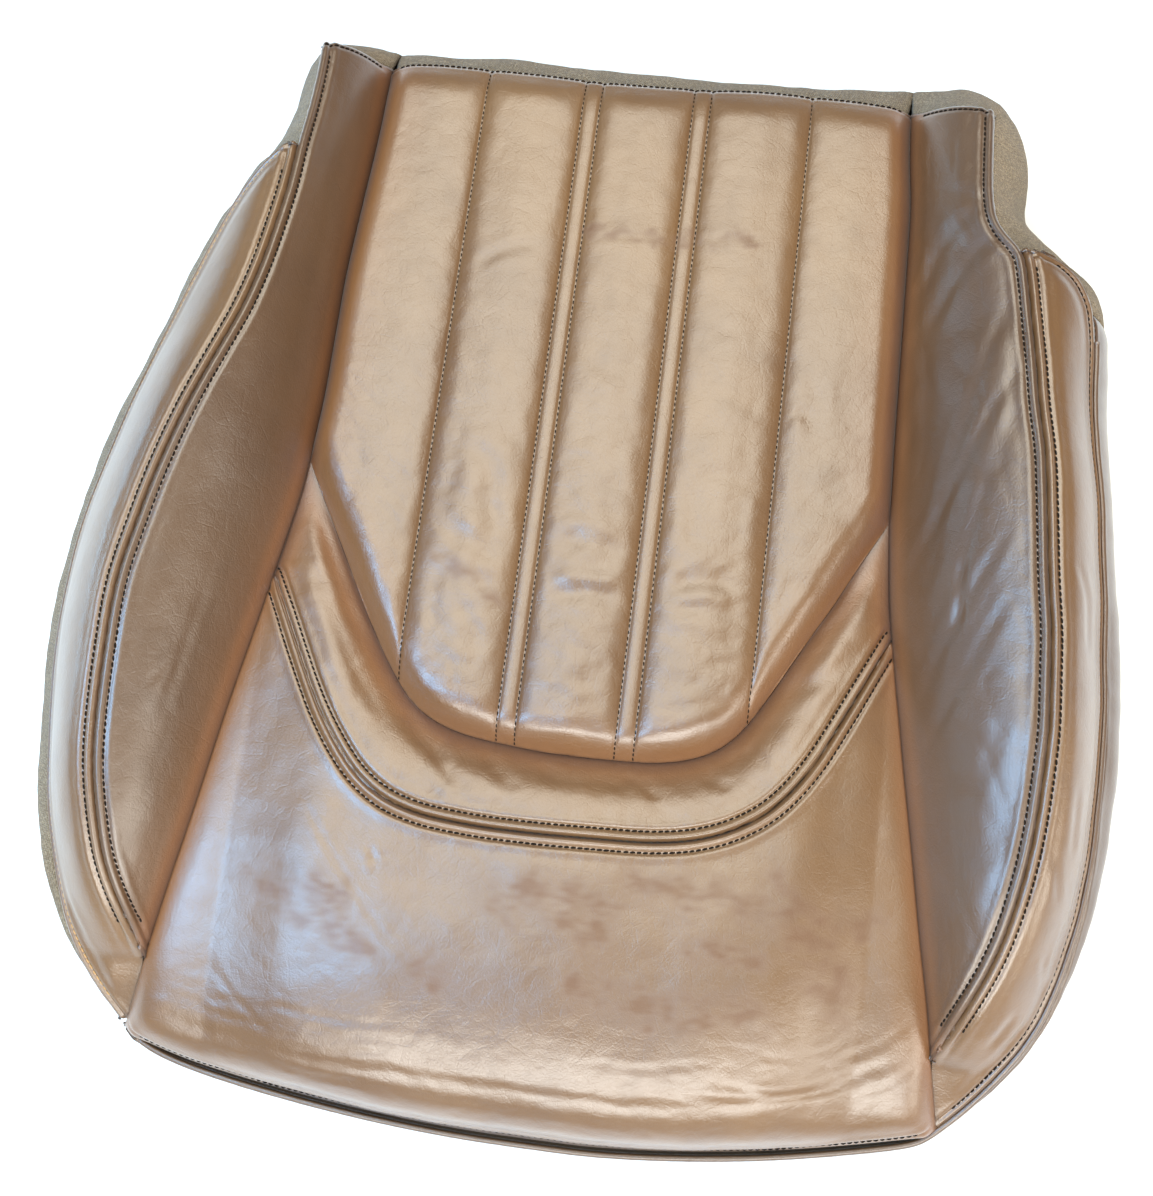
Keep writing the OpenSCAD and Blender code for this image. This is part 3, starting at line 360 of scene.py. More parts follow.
def profile_inner(u): return 1 - (1 - u) ** 1.55
def make_inner(side):
    """bolster inner panel, from the tuck up to the ridge seam"""
    s = -1 if side == "left" else 1
    T = tuckL if s < 0 else tuckR; R = ridgeL if s < 0 else ridgeR
    y0 = -219.0
    T = T[T[:, 1] >= y0]
    n = 150
    k = spaced(475, 1.4, 2.3, 14)
    # matching points by length along each curve
    def along(c, k):
        L = np.r_[0, np.cumsum(np.linalg.norm(np.diff(c[:, :2], axis=0), axis=1))]; L /= L[-1]
        return np.stack([np.interp(k, L, c[:, i]) for i in range(3)], 1)
    # rows stay level with y until the bolster's end
    ty = T[0, 1] + (T[-1, 1] - T[0, 1]) * k
    ry = R[0, 1] + (R[-1, 1] - R[0, 1]) * k
    Tp = np.stack([np.interp(ty, T[:, 1], T[:, 0]), ty, np.interp(ty, T[:, 1], T[:, 2])], 1)
    Rp = np.stack([np.interp(ry, R[:, 1], R[:, 0]), ry, np.interp(ry, R[:, 1], R[:, 2])], 1)
    us = spaced(78, 0.5, 1.5, 7, ends=(0, 1))
    us = np.r_[0, 0.012, 0.03, us[us > 0.05]]
    u = us[None, :, None]
    P = Tp[:, None] * (1 - u) + Rp[:, None] * u
    z = Tp[:, None, 2] + (Rp[:, None, 2] - Tp[:, None, 2]) * profile_inner(us)[None, :]
    # the rear end drops away to its seam
    P[..., 2] = z
    ye = P[:, :, 1]; dre = Tp[-1, 1] * (1 - us)[None] + Rp[-1, 1] * us[None] - ye
    P[..., 2] += 0
    wid = (Rp[:, 0] - Tp[:, 0])[:, None] * s
    if s < 0: P = P[:, ::-1]; us_ = us[::-1]; dre = dre[:, ::-1]
    else: us_ = us
    N = normals(P)
    dR, iR = dist(P, R, 3); dT, _ = dist(P, T, 3)
    bulge = 3.2 * np.sin(np.pi * us_)[None, :] ** 0.9 * sm(0, 45, wid)
    h = bulge + seam_profile(dR, iR * 1.0, seed=206) * (0.3 + 0.7 * sm(0, 8, dT))
    endr = sm(0, 9, dre)
    o = sm(3, 14, dR) * sm(2, 12, dT) * endr
    x, y = P[..., 0], P[..., 1]
    a, b = (0.5, 0.12) if s < 0 else (0.8, 0.24)
    h += o * (a * noise2(us_[None] * 70, y, 46, 41 + s) + b * noise2(us_[None] * 70, y, 15, 43 + s) + 0.05 * noise2(x, y, 5, 45) + (0.10 if s < 0 else 0.30) * ridged(us_[None] * 62 + y * 0.35, y * 0.35 - us_[None] * 20, 17, 47))
    for st in (LEFT_STROKES if s < 0 else RIGHT_STROKES): h += 0.5 * st(P) * sm(0.5, 5, dR)
    h += -2.2 * (1 - roll(dre / 10, 2.2)) * sm(0, 8, dT) + edge_row(dre, 2.6) * sm(4, 10, dT) * 0.7
    P = P + N * h[..., None]
    fl = (2.5, 1.5, 2.5, 7) if s < 0 else (2.5, 1.5, 7, 2.5)
    return panel(side + "_bolster_inner_leather", P, [side + "_bolster_inner"], flange=fl, depth_attr=dT, wear=0.1 + 0 * x, seamd=dR, dark=1.0, mat="leather_shaded")

def make_outer(side):
    s = -1 if side == "left" else 1
    T = tuckL if s < 0 else tuckR; R = ridgeL if s < 0 else ridgeR; E = edgeL if s < 0 else edgeR
    yR = 183.5 if s < 0 else 161.5
    front_part = T[T[:, 1] < -219]; inner = np.vstack([front_part, R[(R[:, 1] > -218) & (R[:, 1] <= yR)]])
    inner = dense(inner, 1.0, 3)
    # rows follow both curves through their lengths
    k = spaced(470, 1.4, 2.4, 16)
    def arc(c):
        L = np.r_[0, np.cumsum(np.linalg.norm(np.diff(c, axis=0), axis=1))]; return L / L[-1]
    # correspondence: level rows, each curve taken at the row's y
    yy = -249.0 + (yR + 249.0) * k
    Ly, Ey = Fn(np.c_[inner[:, 1], arc(inner)], 0, 1)(yy), Fn(np.c_[E[:, 1], arc(E)], 0, 1)(yy)
    w = sm(-250, -150, yy)
    ka = Ly; 
    def take(c, a): L = arc(c); return np.stack([np.interp(a, L, c[:, i]) for i in range(3)], 1)
    Ip = take(inner, Ly); Ep = take(E, Ey)
    us = spaced(62, 0.5, 1.5, 7)
    v = us[None, :]
    P = Ip[:, None] * (1 - us[None, :, None]) + Ep[:, None] * us[None, :, None]
    drop = fall(us)
    P[..., 2] = Ep[:, None, 2] + (Ip[:, None, 2] - Ep[:, None, 2]) * drop[None, :]
    if s < 0: P = P[:, ::-1]; us_ = us[::-1]
    else: us_ = us
    N = normals(P)
    dR, iR = dist(P, inner, 3); dE, _ = dist(P, E, 3)
    onridge = sm(-222, -205, P[..., 1])
    h = seam_profile(dR, iR * 1.0, seed=208) * onridge + edge_row(dE, 3.2)
    o = sm(3, 14, dR) * sm(4, 14, dE)
    x, y = P[..., 0], P[..., 1]
    h += o * (1.6 * np.sin(np.pi * us_)[None] + 0.5 * noise2(us_[None] * 50, y, 50, 51 + s) + 0.16 * noise2(us_[None] * 50, y, 17, 53 + s) + 0.05 * noise2(x, y, 5, 55))
    for st in (OUTL_STROKES if s < 0 else OUTR_STROKES): h += st(P)
    P = P + N * h[..., None]
    fl = (1.0, 1.0, 1.0, 2.5) if s < 0 else (1.0, 1.0, 2.5, 1.0)
    return panel(side + "_bolster_outer_leather", P, [side + "_bolster_outer"], flange=fl, depth_attr=dR + 30, wear=0.3 + 0 * x, seamd=np.minimum(dR, dE))

CORES = {}
def panel(name, P, nodes, flange=(0, 0, 0, 0), depth_attr=None, wear=None, seamd=None, stain=None, dark=0.0, mat="leather", thick=1.5):
    """adds the turned-down seam allowances (front, rear, left, right; mm deep) and writes the piece"""
    A = {"depth": depth_attr, "wear": wear, "seamd": seamd, "stain": 0.0 if stain is None else stain}
    A = {k: (np.asarray(v, float) + np.zeros(P.shape[:2])) for k, v in A.items() if v is not None}
    core = P.copy()
    def down(E, nrm_, k, inward):
        return np.stack([E + inward * min(0.35 * j, 0.7) + np.array([0, 0, -1.0]) * k * j / 3 for j in (1, 2, 3)], 0)
    if flange[2]:
        e = P[:, 0]; ins = np.array([0.5, 0, 0]); ex = down(e, None, flange[2], ins)[::-1].transpose(1, 0, 2)
        P = np.concatenate([ex, P], 1); A = {k: np.concatenate([np.repeat(v[:, :1], 3, 1) * 0, v], 1) for k, v in A.items()}
    if flange[3]:
        e = P[:, -1]; ex = down(e, None, flange[3], np.array([-0.5, 0, 0])).transpose(1, 0, 2)
        P = np.concatenate([P, ex], 1); A = {k: np.concatenate([v, np.repeat(v[:, -1:], 3, 1) * 0], 1) for k, v in A.items()}
    if flange[0]:
        e = P[0]; ex = down(e, None, flange[0], np.array([0, 0.5, 0]))[::-1]
        P = np.concatenate([ex, P], 0); A = {k: np.concatenate([np.repeat(v[:1], 3, 0) * 0, v], 0) for k, v in A.items()}
    if flange[1]:
        e = P[-1]; ex = down(e, None, flange[1], np.array([0, -0.5, 0]))
        P = np.concatenate([P, ex], 0); A = {k: np.concatenate([v, np.repeat(v[-1:], 3, 0) * 0], 0) for k, v in A.items()}
    N = normals(P)
    o = shell(name, P, N, thick, attrs=A)
    o.data.materials.append(MATS[mat])
    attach(o, "cushion"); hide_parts(*nodes)
    CORES[name] = core
    return o

# ------------------------------------------------------------------ strokes, in plan mm
def S(pts, depth, width, lip=0.5, taper=0.25): return Stroke(pts, depth, width, lip, taper)
INSERT_STROKES = [
    S([(-24,-2),(-7,2),(10,0),(23,0)], 0.9, 4.5), S([(-21,-29),(-4,-23),(13,-26),(23,-28)], 0.8, 4.0), S([(-18,-17),(7,-17),(22,-14)], -0.9, 4.0, 0.3),
    S([(37,-18),(55,-11),(77,-14)], 0.9, 4.0), S([(40,-30),(57,-26),(76,-28)], 0.7, 3.5), S([(-22,160),(5,163),(22,165)], 0.5, 1.6, 0.3), S([(36,166),(66,168)], 0.5, 1.6, 0.3),
    S([(-78,138),(-62,150),(-42,155)], 0.6, 3.0), S([(-66,52),(-53,33),(-45,-12)], 1.0, 5.0), S([(-74,5),(-58,-6),(-42,-12)], 0.7, 4.5), S([(-57,40),(-66,20),(-70,-8)], -0.8, 6.0, 0.2),
    S([(-55,-78),(-58,-64)], 0.4, 1.6), S([(-69,-80),(-66,-67)], 0.4, 1.6), S([(91,80),(97,80),(101,74)], 1.1, 3.0), S([(58,170),(65,168)], 0.7, 1.8), S([(36,7),(54,-1),(73,1)], -0.7, 4.0, 0.3),
    S([(-59,-34),(-46,-52)], 0.5, 4.0), S([(95,107),(101,87),(103,61)], 0.5, 4.0), S([(40,60),(55,66),(74,60)], 0.35, 5.0), S([(-18,95),(0,90),(18,96)], 0.35, 5.0), S([(44,120),(60,116),(78,122)], 0.3, 4.0),
]
BAND_STROKES = [
    S([(-139,9),(-122,-26),(-112,-45),(-99,-62)], 1.3, 3.2), S([(-142,-12),(-122,-41),(-103,-76),(-82,-100)], 0.9, 3.5), S([(-63,-105),(-52,-118),(-40,-127)], 1.0, 3.5),
    S([(-39,-104),(-31,-113),(-18,-122)], 0.8, 3.5), S([(-10,-106),(1,-118)], 0.6, 3.0), S([(37,-107),(48,-119)], 0.6, 3.0), S([(65,-104),(82,-110)], 0.8, 3.0), S([(85,-87),(98,-98)], 0.8, 3.0),
    S([(103,-59),(121,-52),(134,-31)], 1.0, 3.4), S([(115,-33),(128,-16),(139,10)], 0.8, 3.2), S([(-81,-85),(-68,-103),(-50,-112)], 0.9, 3.6), S([(-20,-112),(10,-114),(40,-112)], 0.5, 3.5),
]
NOSE_STROKES = [
    S([(-182,-243),(-148,-249),(-100,-255),(-45,-256),(1,-257),(46,-257),(99,-250),(138,-238),(178,-216)], 0.75, 2.6, 0.5, 0.08), S([(-127,-125),(-102,-160),(-73,-193),(-46,-215)], 0.28, 1.6, 0.4),
    S([(-85,-154),(-80,-161),(-79,-169)], 0.5, 1.8, 0.4), S([(-87,-165),(-80,-161),(-73,-158)], 0.4, 1.5, 0.4), S([(-83,-158),(-79,-162),(-75,-165)], 0.25, 1.3, 0.4),
    S([(80,-239),(116,-245),(151,-235)], 0.45, 1.6), S([(54,-247),(81,-249),(108,-250)], 0.4, 1.4), S([(-120,-249),(-92,-251),(-56,-246)], 0.45, 1.5), S([(-128,-256),(-99,-262),(-62,-262)], 0.5, 1.6),
    S([(-154,-217),(-137,-233),(-115,-248)], 0.35, 1.6), S([(-128,-232),(-90,-236),(-57,-234)], 0.3, 1.8), S([(17,-240),(53,-240),(88,-232)], 0.3, 1.8), S([(141,-224),(159,-217),(175,-202)], 0.4, 1.8),
    S([(152,-240),(169,-231),(181,-219)], 0.45, 1.5), S([(-170,-232),(-150,-240),(-120,-243)], 0.35, 1.5), S([(100,-228),(125,-226),(150,-214)], 0.25, 1.6),
]
RIGHT_STROKES = [
    S([(190,143),(180,111),(173,74),(166,38),(162,-2)], 0.9, 2.6), S([(193,102),(182,75),(172,48),(160,17),(154,-3)], 1.0, 2.4), S([(189,81),(178,39),(170,9),(163,-21)], -0.7, 3.2, 0.3),
    S([(196,26),(183,-5),(173,-30),(166,-59)], 0.8, 2.4), S([(200,-3),(189,-28),(178,-58),(168,-87)], 0.7, 2.6), S([(174,190),(158,172),(148,144)], 1.1, 3.4), S([(183,175),(165,151),(152,123)], 0.9, 3.0),
    S([(154,204),(164,192),(175,187)], 0.8, 3.0), S([(195,128),(191,91),(191,56)], 0.6, 2.6), S([(177,9),(177,-20),(179,-29)], 1.2, 1.8), S([(184,50),(181,29),(174,-11)], 0.5, 2.0),
    S([(150,138),(155,108),(156,77)], 0.5, 3.0), S([(200,-55),(195,-84),(184,-113)], 0.4, 3.0), S([(179,-113),(185,-114)], 0.5, 1.2), S([(168,150),(160,120),(158,92)], -0.6, 4.0, 0.2),
]
LEFT_STROKES = [S([(-179,-42),(-184,-72),(-188,-102)], 0.35, 1.6), S([(-184,-82),(-189,-97),(-188,-110)], 0.35, 2.0), S([(-189,-82),(-196,-98)], 0.4, 1.6), S([(-150,120),(-152,90),(-154,60)], 0.4, 4.0)]
OUTR_STROKES = [S([(222,12),(231,-6),(233,-34)], 0.4, 2.0), S([(225,-166),(231,-186)], 0.4, 1.8), S([(218,-192),(207,-211)], 0.5, 1.8), S([(232,-90),(232,-125)], 0.35, 1.8), S([(223,-122),(228,-146)], 0.35, 1.8),
    S([(226,-196),(215,-212)], 0.4, 1.5), S([(236,-150),(230,-178)], 0.35, 1.5)]
OUTL_STROKES = [S([(-226,-196),(-214,-214)], 0.35, 1.6)]

# ------------------------------------------------------------------ materials
def srgb(r, g, b):
    f = lambda c: (c / 255 / 12.92) if c / 255 <= 0.04045 else ((c / 255 + 0.055) / 1.055) ** 2.4
    return (f(r), f(g), f(b), 1)
class NT:
    """small helper for building node trees"""
    def __init__(self, name):
        self.m = bpy.data.materials.new(name); self.m.use_nodes = True
        self.t = self.m.node_tree; self.t.nodes.clear()
        self.out = self.t.nodes.new("ShaderNodeOutputMaterial"); self.b = self.t.nodes.new("ShaderNodeBsdfPrincipled")
        self.t.links.new(self.b.outputs[0], self.out.inputs[0])
    def n(self, kind, **kw):
        x = self.t.nodes.new(kind)
        for k, v in kw.items(): setattr(x, k, v)
        return x
    def link(self, a, b): self.t.links.new(a, b)
    def set(self, node, **kw):
        for k, v in kw.items(): node.inputs[k.replace("_", " ")].default_value = v
    def coord(self): 
        return self.n("ShaderNodeTexCoord").outputs["Object"]
    def noise(self, scale, detail=2.0, rough=0.5, vec=None, dist=0.0):
        x = self.n("ShaderNodeTexNoise"); x.inputs["Scale"].default_value = scale; x.inputs["Detail"].default_value = detail
        x.inputs["Roughness"].default_value = rough; x.inputs["Distortion"].default_value = dist
        self.link(vec if vec is not None else self.coord(), x.inputs["Vector"]); return x.outputs["Fac"]
    def voronoi(self, scale, feature="F1", vec=None, rand=1.0):
        x = self.n("ShaderNodeTexVoronoi"); x.feature = feature; x.inputs["Scale"].default_value = scale; x.inputs["Randomness"].default_value = rand
        self.link(vec if vec is not None else self.coord(), x.inputs["Vector"]); return x.outputs["Distance"]
    def ramp(self, fac, stops):
        x = self.n("ShaderNodeValToRGB"); e = x.color_ramp.elements
        while len(e) < len(stops): e.new(0.5)
        for k, (p, c) in enumerate(stops):
            e[k].position = p; e[k].color = c if len(c) == 4 else (*c, 1)
        self.link(fac, x.inputs["Fac"]); return x.outputs["Color"]
    def math(self, op, a, b=None, clamp=False):
        x = self.n("ShaderNodeMath", operation=op, use_clamp=clamp)
        for i, v in enumerate((a, b)):
            if v is None: continue
            if isinstance(v, (int, float)): x.inputs[i].default_value = v
            else: self.link(v, x.inputs[i])
        return x.outputs[0]
    def mix(self, fac, a, b, kind="MIX"):
        x = self.n("ShaderNodeMix", data_type="RGBA", blend_type=kind)
        if isinstance(fac, (int, float)): x.inputs[0].default_value = fac
        else: self.link(fac, x.inputs[0])
        for i, v in ((6, a), (7, b)):
            if isinstance(v, tuple): x.inputs[i].default_value = v
            else: self.link(v, x.inputs[i])
        return x.outputs[2]
    def attr(self, name):
        x = self.n("ShaderNodeAttribute", attribute_name=name); return x.outputs["Fac"]
    def bump(self, height, strength, distance, normal=None):
        x = self.n("ShaderNodeBump"); x.inputs["Strength"].default_value = strength; x.inputs["Distance"].default_value = distance
        self.link(height, x.inputs["Height"])
        if normal is not None: self.link(normal, x.inputs["Normal"])
        return x.outputs["Normal"]

def leather(name="leather", base=(92, 60, 28), dark=(66, 39, 17), light=(106, 73, 37), rough=0.35, grain=1.0):
    t = NT(name)
    big = t.noise(8, 3, 0.55); mid = t.noise(46, 4, 0.6)
    col = t.mix(t.ramp(big, [(0.35, (0, 0, 0)), (0.68, (1, 1, 1))]), srgb(*base), srgb(*light))
    col = t.mix(t.math("MULTIPLY", t.ramp(mid, [(0.5, (0, 0, 0)), (0.72, (1, 1, 1))]), 0.16), col, srgb(*dark))
    # painted shade and painted warm bounce light: warmer and darker towards the tucks
    dep = t.ramp(t.math("DIVIDE", t.attr("depth"), 30.0, True), [(0.0, (1, 1, 1)), (0.2, (0.7, 0.7, 0.7)), (0.45, (0.2, 0.2, 0.2)), (1.0, (0, 0, 0))])
    col = t.mix(t.math("MULTIPLY", dep, 0.75), col, srgb(128, 76, 32))
    # painted shade: dark brown down in the tucks
    deep = t.ramp(t.math("DIVIDE", t.attr("depth"), 7.0, True), [(0.0, (1, 1, 1)), (0.35, (0.5, 0.5, 0.5)), (1.0, (0, 0, 0))])
    col = t.mix(t.math("MULTIPLY", deep, 0.9), col, srgb(50, 25, 10))
    # painted shade: darker in the seam grooves, along the pleat lines and at the panel edges
    groove = t.ramp(t.math("DIVIDE", t.attr("seamd"), 2.4, True), [(0.0, (1, 1, 1)), (0.22, (0.3, 0.3, 0.3)), (1.0, (0, 0, 0))])
    col = t.mix(t.math("MULTIPLY", groove, 0.75), col, srgb(44, 26, 14))
    col = t.mix(t.math("MULTIPLY", t.math("MULTIPLY", t.attr("stain"), t.ramp(t.noise(70, 4, 0.6), [(0.25, (0.3, 0.3, 0.3)), (0.55, (1, 1, 1))])), 0.7), col, srgb(92, 54, 18))
    t.link(col, t.b.inputs["Base Color"])
    fine = t.voronoi(1150, "F1"); cells = t.voronoi(560, "DISTANCE_TO_EDGE"); pores = t.noise(2600, 2, 0.6)
    fold = t.noise(120, 5, 0.62, dist=0.7); crease = t.ramp(t.voronoi(95, "DISTANCE_TO_EDGE"), [(0.0, (0, 0, 0)), (0.05, (1, 1, 1))])
    h = t.math("ADD", t.math("MULTIPLY", fine, 0.5), t.math("MULTIPLY", t.ramp(cells, [(0.0, (0, 0, 0)), (0.16, (1, 1, 1))]), 0.4))
    h = t.math("ADD", h, t.math("MULTIPLY", pores, 0.3))
    nrm = t.bump(h, 0.30 * grain, 0.00030)
    nrm = t.bump(fold, 0.22 * grain, 0.0012, nrm)
    nrm = t.bump(crease, 0.10 * grain, 0.0005, nrm)
    t.link(nrm, t.b.inputs["Normal"])
    r = t.math("ADD", t.math("MULTIPLY", big, 0.12), rough - 0.06)
    r = t.math("ADD", r, t.math("MULTIPLY", mid, 0.12))
    r = t.math("SUBTRACT", r, t.math("MULTIPLY", t.attr("wear"), 0.06))
    r = t.math("ADD", r, t.math("MULTIPLY", t.attr("stain"), 0.38))
    r = t.math("ADD", r, t.math("MULTIPLY", dep, 0.10), True)
    t.link(r, t.b.inputs["Roughness"])
    t.b.inputs["Specular IOR Level"].default_value = 0.85
    t.b.inputs["Coat Weight"].default_value = 0.6; t.b.inputs["Coat Roughness"].default_value = 0.33
    t.b.inputs["Sheen Weight"].default_value = 0.08; t.b.inputs["Sheen Roughness"].default_value = 0.4
    return t.m

def knit(name="knit", a=(122, 102, 76), b=(76, 62, 45), c=(150, 132, 106), pitch=1.5):
    """fine heathered knit with a slanting rib, laid out on the flat coordinates"""
    t = NT(name)
    uv = t.n("ShaderNodeUVMap", uv_map="flat").outputs[0]
    sep = t.n("ShaderNodeSeparateXYZ"); t.link(uv, sep.inputs[0])
    k = 2 * math.pi / (pitch * MM)
    u = t.math("MULTIPLY", sep.outputs[0], k); v = t.math("MULTIPLY", sep.outputs[1], k * 0.72)
    rib = t.math("SINE", t.math("ADD", u, t.math("MULTIPLY", v, 0.55)))
    loop = t.math("SINE", t.math("SUBTRACT", v, t.math("MULTIPLY", u, 0.35)))
    w = t.math("ADD", t.math("MULTIPLY", t.math("MULTIPLY", rib, loop), 0.5), 0.5)
    flecks = t.noise(900, 3, 0.7); blot = t.noise(24, 3, 0.6)
    col = t.mix(w, srgb(*b), srgb(*a))
    col = t.mix(t.ramp(flecks, [(0.45, (0, 0, 0)), (0.66, (1, 1, 1))]), col, srgb(*c))
    col = t.mix(t.math("MULTIPLY", t.ramp(blot, [(0.4, (0, 0, 0)), (0.7, (1, 1, 1))]), 0.3), col, srgb(*b))
    t.link(col, t.b.inputs["Base Color"])
    n1 = t.bump(t.math("ADD", w, t.math("MULTIPLY", flecks, 0.6)), 0.8, 0.0005)
    t.link(n1, t.b.inputs["Normal"])
    t.set(t.b, Roughness=0.92); t.b.inputs["Sheen Weight"].default_value = 0.15; t.b.inputs["Sheen Roughness"].default_value = 0.6
    t.b.inputs["Specular IOR Level"].default_value = 0.2
    return t.m

def thread(name, c, d):
    t = NT(name)
    n = t.noise(3000, 2, 0.5)
    w = t.n("ShaderNodeTexWave"); w.inputs["Scale"].default_value = 900; w.inputs["Distortion"].default_value = 0.5; t.link(t.coord(), w.inputs["Vector"])
    t.link(t.mix(w.outputs["Fac"], srgb(*d), srgb(*c)), t.b.inputs["Base Color"])
    t.link(t.bump(w.outputs["Fac"], 0.5, 0.0001), t.b.inputs["Normal"])
    t.set(t.b, Roughness=0.75); t.b.inputs["Specular IOR Level"].default_value = 0.12
    return t.m

def foam(name="foam", a=(232, 222, 186), b=(206, 190, 146)):
    t = NT(name)
    big = t.noise(14, 4, 0.6); cell = t.voronoi(900, "F1"); pit = t.voronoi(210, "F1")
    col = t.mix(t.ramp(big, [(0.35, (0, 0, 0)), (0.7, (1, 1, 1))]), srgb(*a), srgb(*b))
    # painted shade: darker in the recessed pits
    col = t.mix(t.ramp(pit, [(0.0, (1, 1, 1)), (0.10, (0, 0, 0))]), col, srgb(150, 132, 92))
    t.link(col, t.b.inputs["Base Color"])
    h = t.math("ADD", t.math("MULTIPLY", cell, 0.6), t.math("MULTIPLY", t.ramp(pit, [(0.0, (0, 0, 0)), (0.14, (1, 1, 1))]), 0.8))
    t.link(t.bump(h, 0.5, 0.0005), t.b.inputs["Normal"])
    t.set(t.b, Roughness=0.85); t.b.inputs["Specular IOR Level"].default_value = 0.25
    t.b.inputs["Subsurface Weight"].default_value = 0.08; t.b.inputs["Subsurface Radius"].default_value = (0.004, 0.003, 0.002)
    return t.m

def fibres(name, a, b, scale=1400, rough=0.95):
    t = NT(name)
    w1 = t.noise(scale, 5, 0.75, dist=2.5); w2 = t.noise(scale * 0.13, 3, 0.6); w3 = t.noise(20, 3, 0.6)
    col = t.mix(t.ramp(w1, [(0.40, (0, 0, 0)), (0.62, (1, 1, 1))]), srgb(*a), srgb(*b))
    col = t.mix(t.math("MULTIPLY", w3, 0.35), col, srgb(*a))
    t.link(col, t.b.inputs["Base Color"])
    t.link(t.bump(t.math("ADD", w1, w2), 0.7, 0.0006), t.b.inputs["Normal"])
    t.set(t.b, Roughness=rough); t.b.inputs["Sheen Weight"].default_value = 0.3
    return t.m

def webbing_mat(name="webbing_weave", a=(34, 34, 37), b=(16, 16, 18)):
    t = NT(name)
    uv = t.n("ShaderNodeUVMap", uv_map="flat").outputs[0]
    sep = t.n("ShaderNodeSeparateXYZ"); t.link(uv, sep.inputs[0])
    u = t.math("MULTIPLY", sep.outputs[0], 2 * math.pi / 0.0014); v = t.math("MULTIPLY", sep.outputs[1], 2 * math.pi / 0.0010)
    w = t.math("ADD", t.math("MULTIPLY", t.math("MULTIPLY", t.math("SINE", u), t.math("SINE", v)), 0.5), 0.5)
    f = t.noise(1800, 2, 0.6)
    t.link(t.mix(w, srgb(*b), srgb(*a)), t.b.inputs["Base Color"])
    t.link(t.bump(t.math("ADD", w, t.math("MULTIPLY", f, 0.4)), 0.6, 0.0003), t.b.inputs["Normal"])
    t.set(t.b, Roughness=0.8); t.b.inputs["Sheen Weight"].default_value = 0.25
    return t.m

def plastic(name="channel_plastic"):
    t = NT(name)
    n = t.noise(700, 3, 0.6); m = t.n("ShaderNodeMapping"); m.inputs["Scale"].default_value = (60, 60, 900)
    t.link(t.coord(), m.inputs["Vector"]); lines = t.noise(1.0, 3, 0.5, vec=m.outputs[0])
    t.link(t.mix(t.math("MULTIPLY", n, 0.5), srgb(26, 26, 28), srgb(48, 48, 50)), t.b.inputs["Base Color"])
    t.link(t.bump(t.math("ADD", lines, t.math("MULTIPLY", n, 0.4)), 0.25, 0.0002), t.b.inputs["Normal"])
    t.link(t.math("ADD", t.math("MULTIPLY", n, 0.25), 0.34), t.b.inputs["Roughness"])
    return t.m

def wire(name="drawn_wire"):
    t = NT(name)
    n = t.noise(260, 4, 0.7); s = t.noise(2400, 2, 0.5)
    t.link(t.ramp(n, [(0.3, (0.36, 0.36, 0.37)), (0.6, (0.55, 0.55, 0.56)), (0.78, (0.34, 0.26, 0.20))]), t.b.inputs["Base Color"])
    t.set(t.b, Metallic=1.0); t.link(t.math("ADD", t.math("MULTIPLY", s, 0.3), 0.25), t.b.inputs["Roughness"])
    t.link(t.bump(s, 0.2, 0.0001), t.b.inputs["Normal"])
    return t.m

# the second leather is the same leather painted darker, as painted shade on the steep inner bolsters, the leather walls
# and the piping
MATS = {"leather": leather(), "leather_shaded": leather("leather_painted_shade", base=(76, 49, 24), dark=(56, 34, 16), light=(86, 58, 31), rough=0.37),
        "knit": knit(), "foam": foam(), "felt": fibres("felt_fibres", (44, 44, 46), (74, 74, 76)), "wadding": fibres("wadding_fibres", (216, 216, 210), (240, 240, 236), 900),
        "sleeve": fibres("sleeve_cloth", (206, 206, 198), (232, 232, 226), 1600), "webbing": webbing_mat(), "channel": plastic(), "wire": wire(),
        "thread_dark": thread("thread_dark", (30, 22, 16), (15, 10, 8)), "thread_tan": thread("thread_tan", (196, 158, 112), (150, 112, 72))}

# ------------------------------------------------------------------ tables for the lower outline of the cover
def herm(tab, x):
    t = np.array(tab, float); k, v = t[:, 0], t[:, 1]
    n = len(k); g = np.array([(v[min(n - 1, i + 1)] - v[max(0, i - 1)]) / (k[min(n - 1, i + 1)] - k[max(0, i - 1)]) for i in range(n)])
    x = np.asarray(x, float); i = np.clip(np.searchsorted(k, x, "right") - 1, 0, n - 2)
    h = k[i + 1] - k[i]; u = np.clip((x - k[i]) / h, 0, 1)
    return v[i] * (2*u**3 - 3*u**2 + 1) + g[i] * h * (u**3 - 2*u**2 + u) + v[i + 1] * (3*u**2 - 2*u**3) + g[i + 1] * h * (u**3 - u**2)
MID_L = [[-250, 195], [-239, 207], [-225, 221], [-205, 234], [-170, 248], [-130, 257], [-80, 262], [-50, 262], [-10, 260], [35, 252], [75, 242], [115, 229], [155, 215], [180, 205], [203, 192], [225, 187], [245, 185]]
MID_R = [[-250, 195], [-239, 207], [-225, 220], [-205, 233], [-170, 248], [-130, 258], [-95, 262], [-60, 262], [0, 258], [60, 252], [95, 248], [137, 245], [155, 241], [169, 233], [180, 221], [188, 206], [195, 200], [225, 201], [245, 197]]
REAR_B = [[-170, 267], [-135, 270], [-95, 273], [-50, 272], [0, 270], [60, 271], [100, 272], [140, 276], [165, 276]]
SIDE_X, FRONT_FY, REAR_FY, SIDE_MY, FOLD, FLAP_F, FLAP_R, FLAP_S = 238.0, -265.0, 262.0, -62.0, 30.0, 270.0, 240.0, 190.0
def foot_z(v, half): return FOLD + 0.5 if abs(v) < half + 1.5 else 8.0

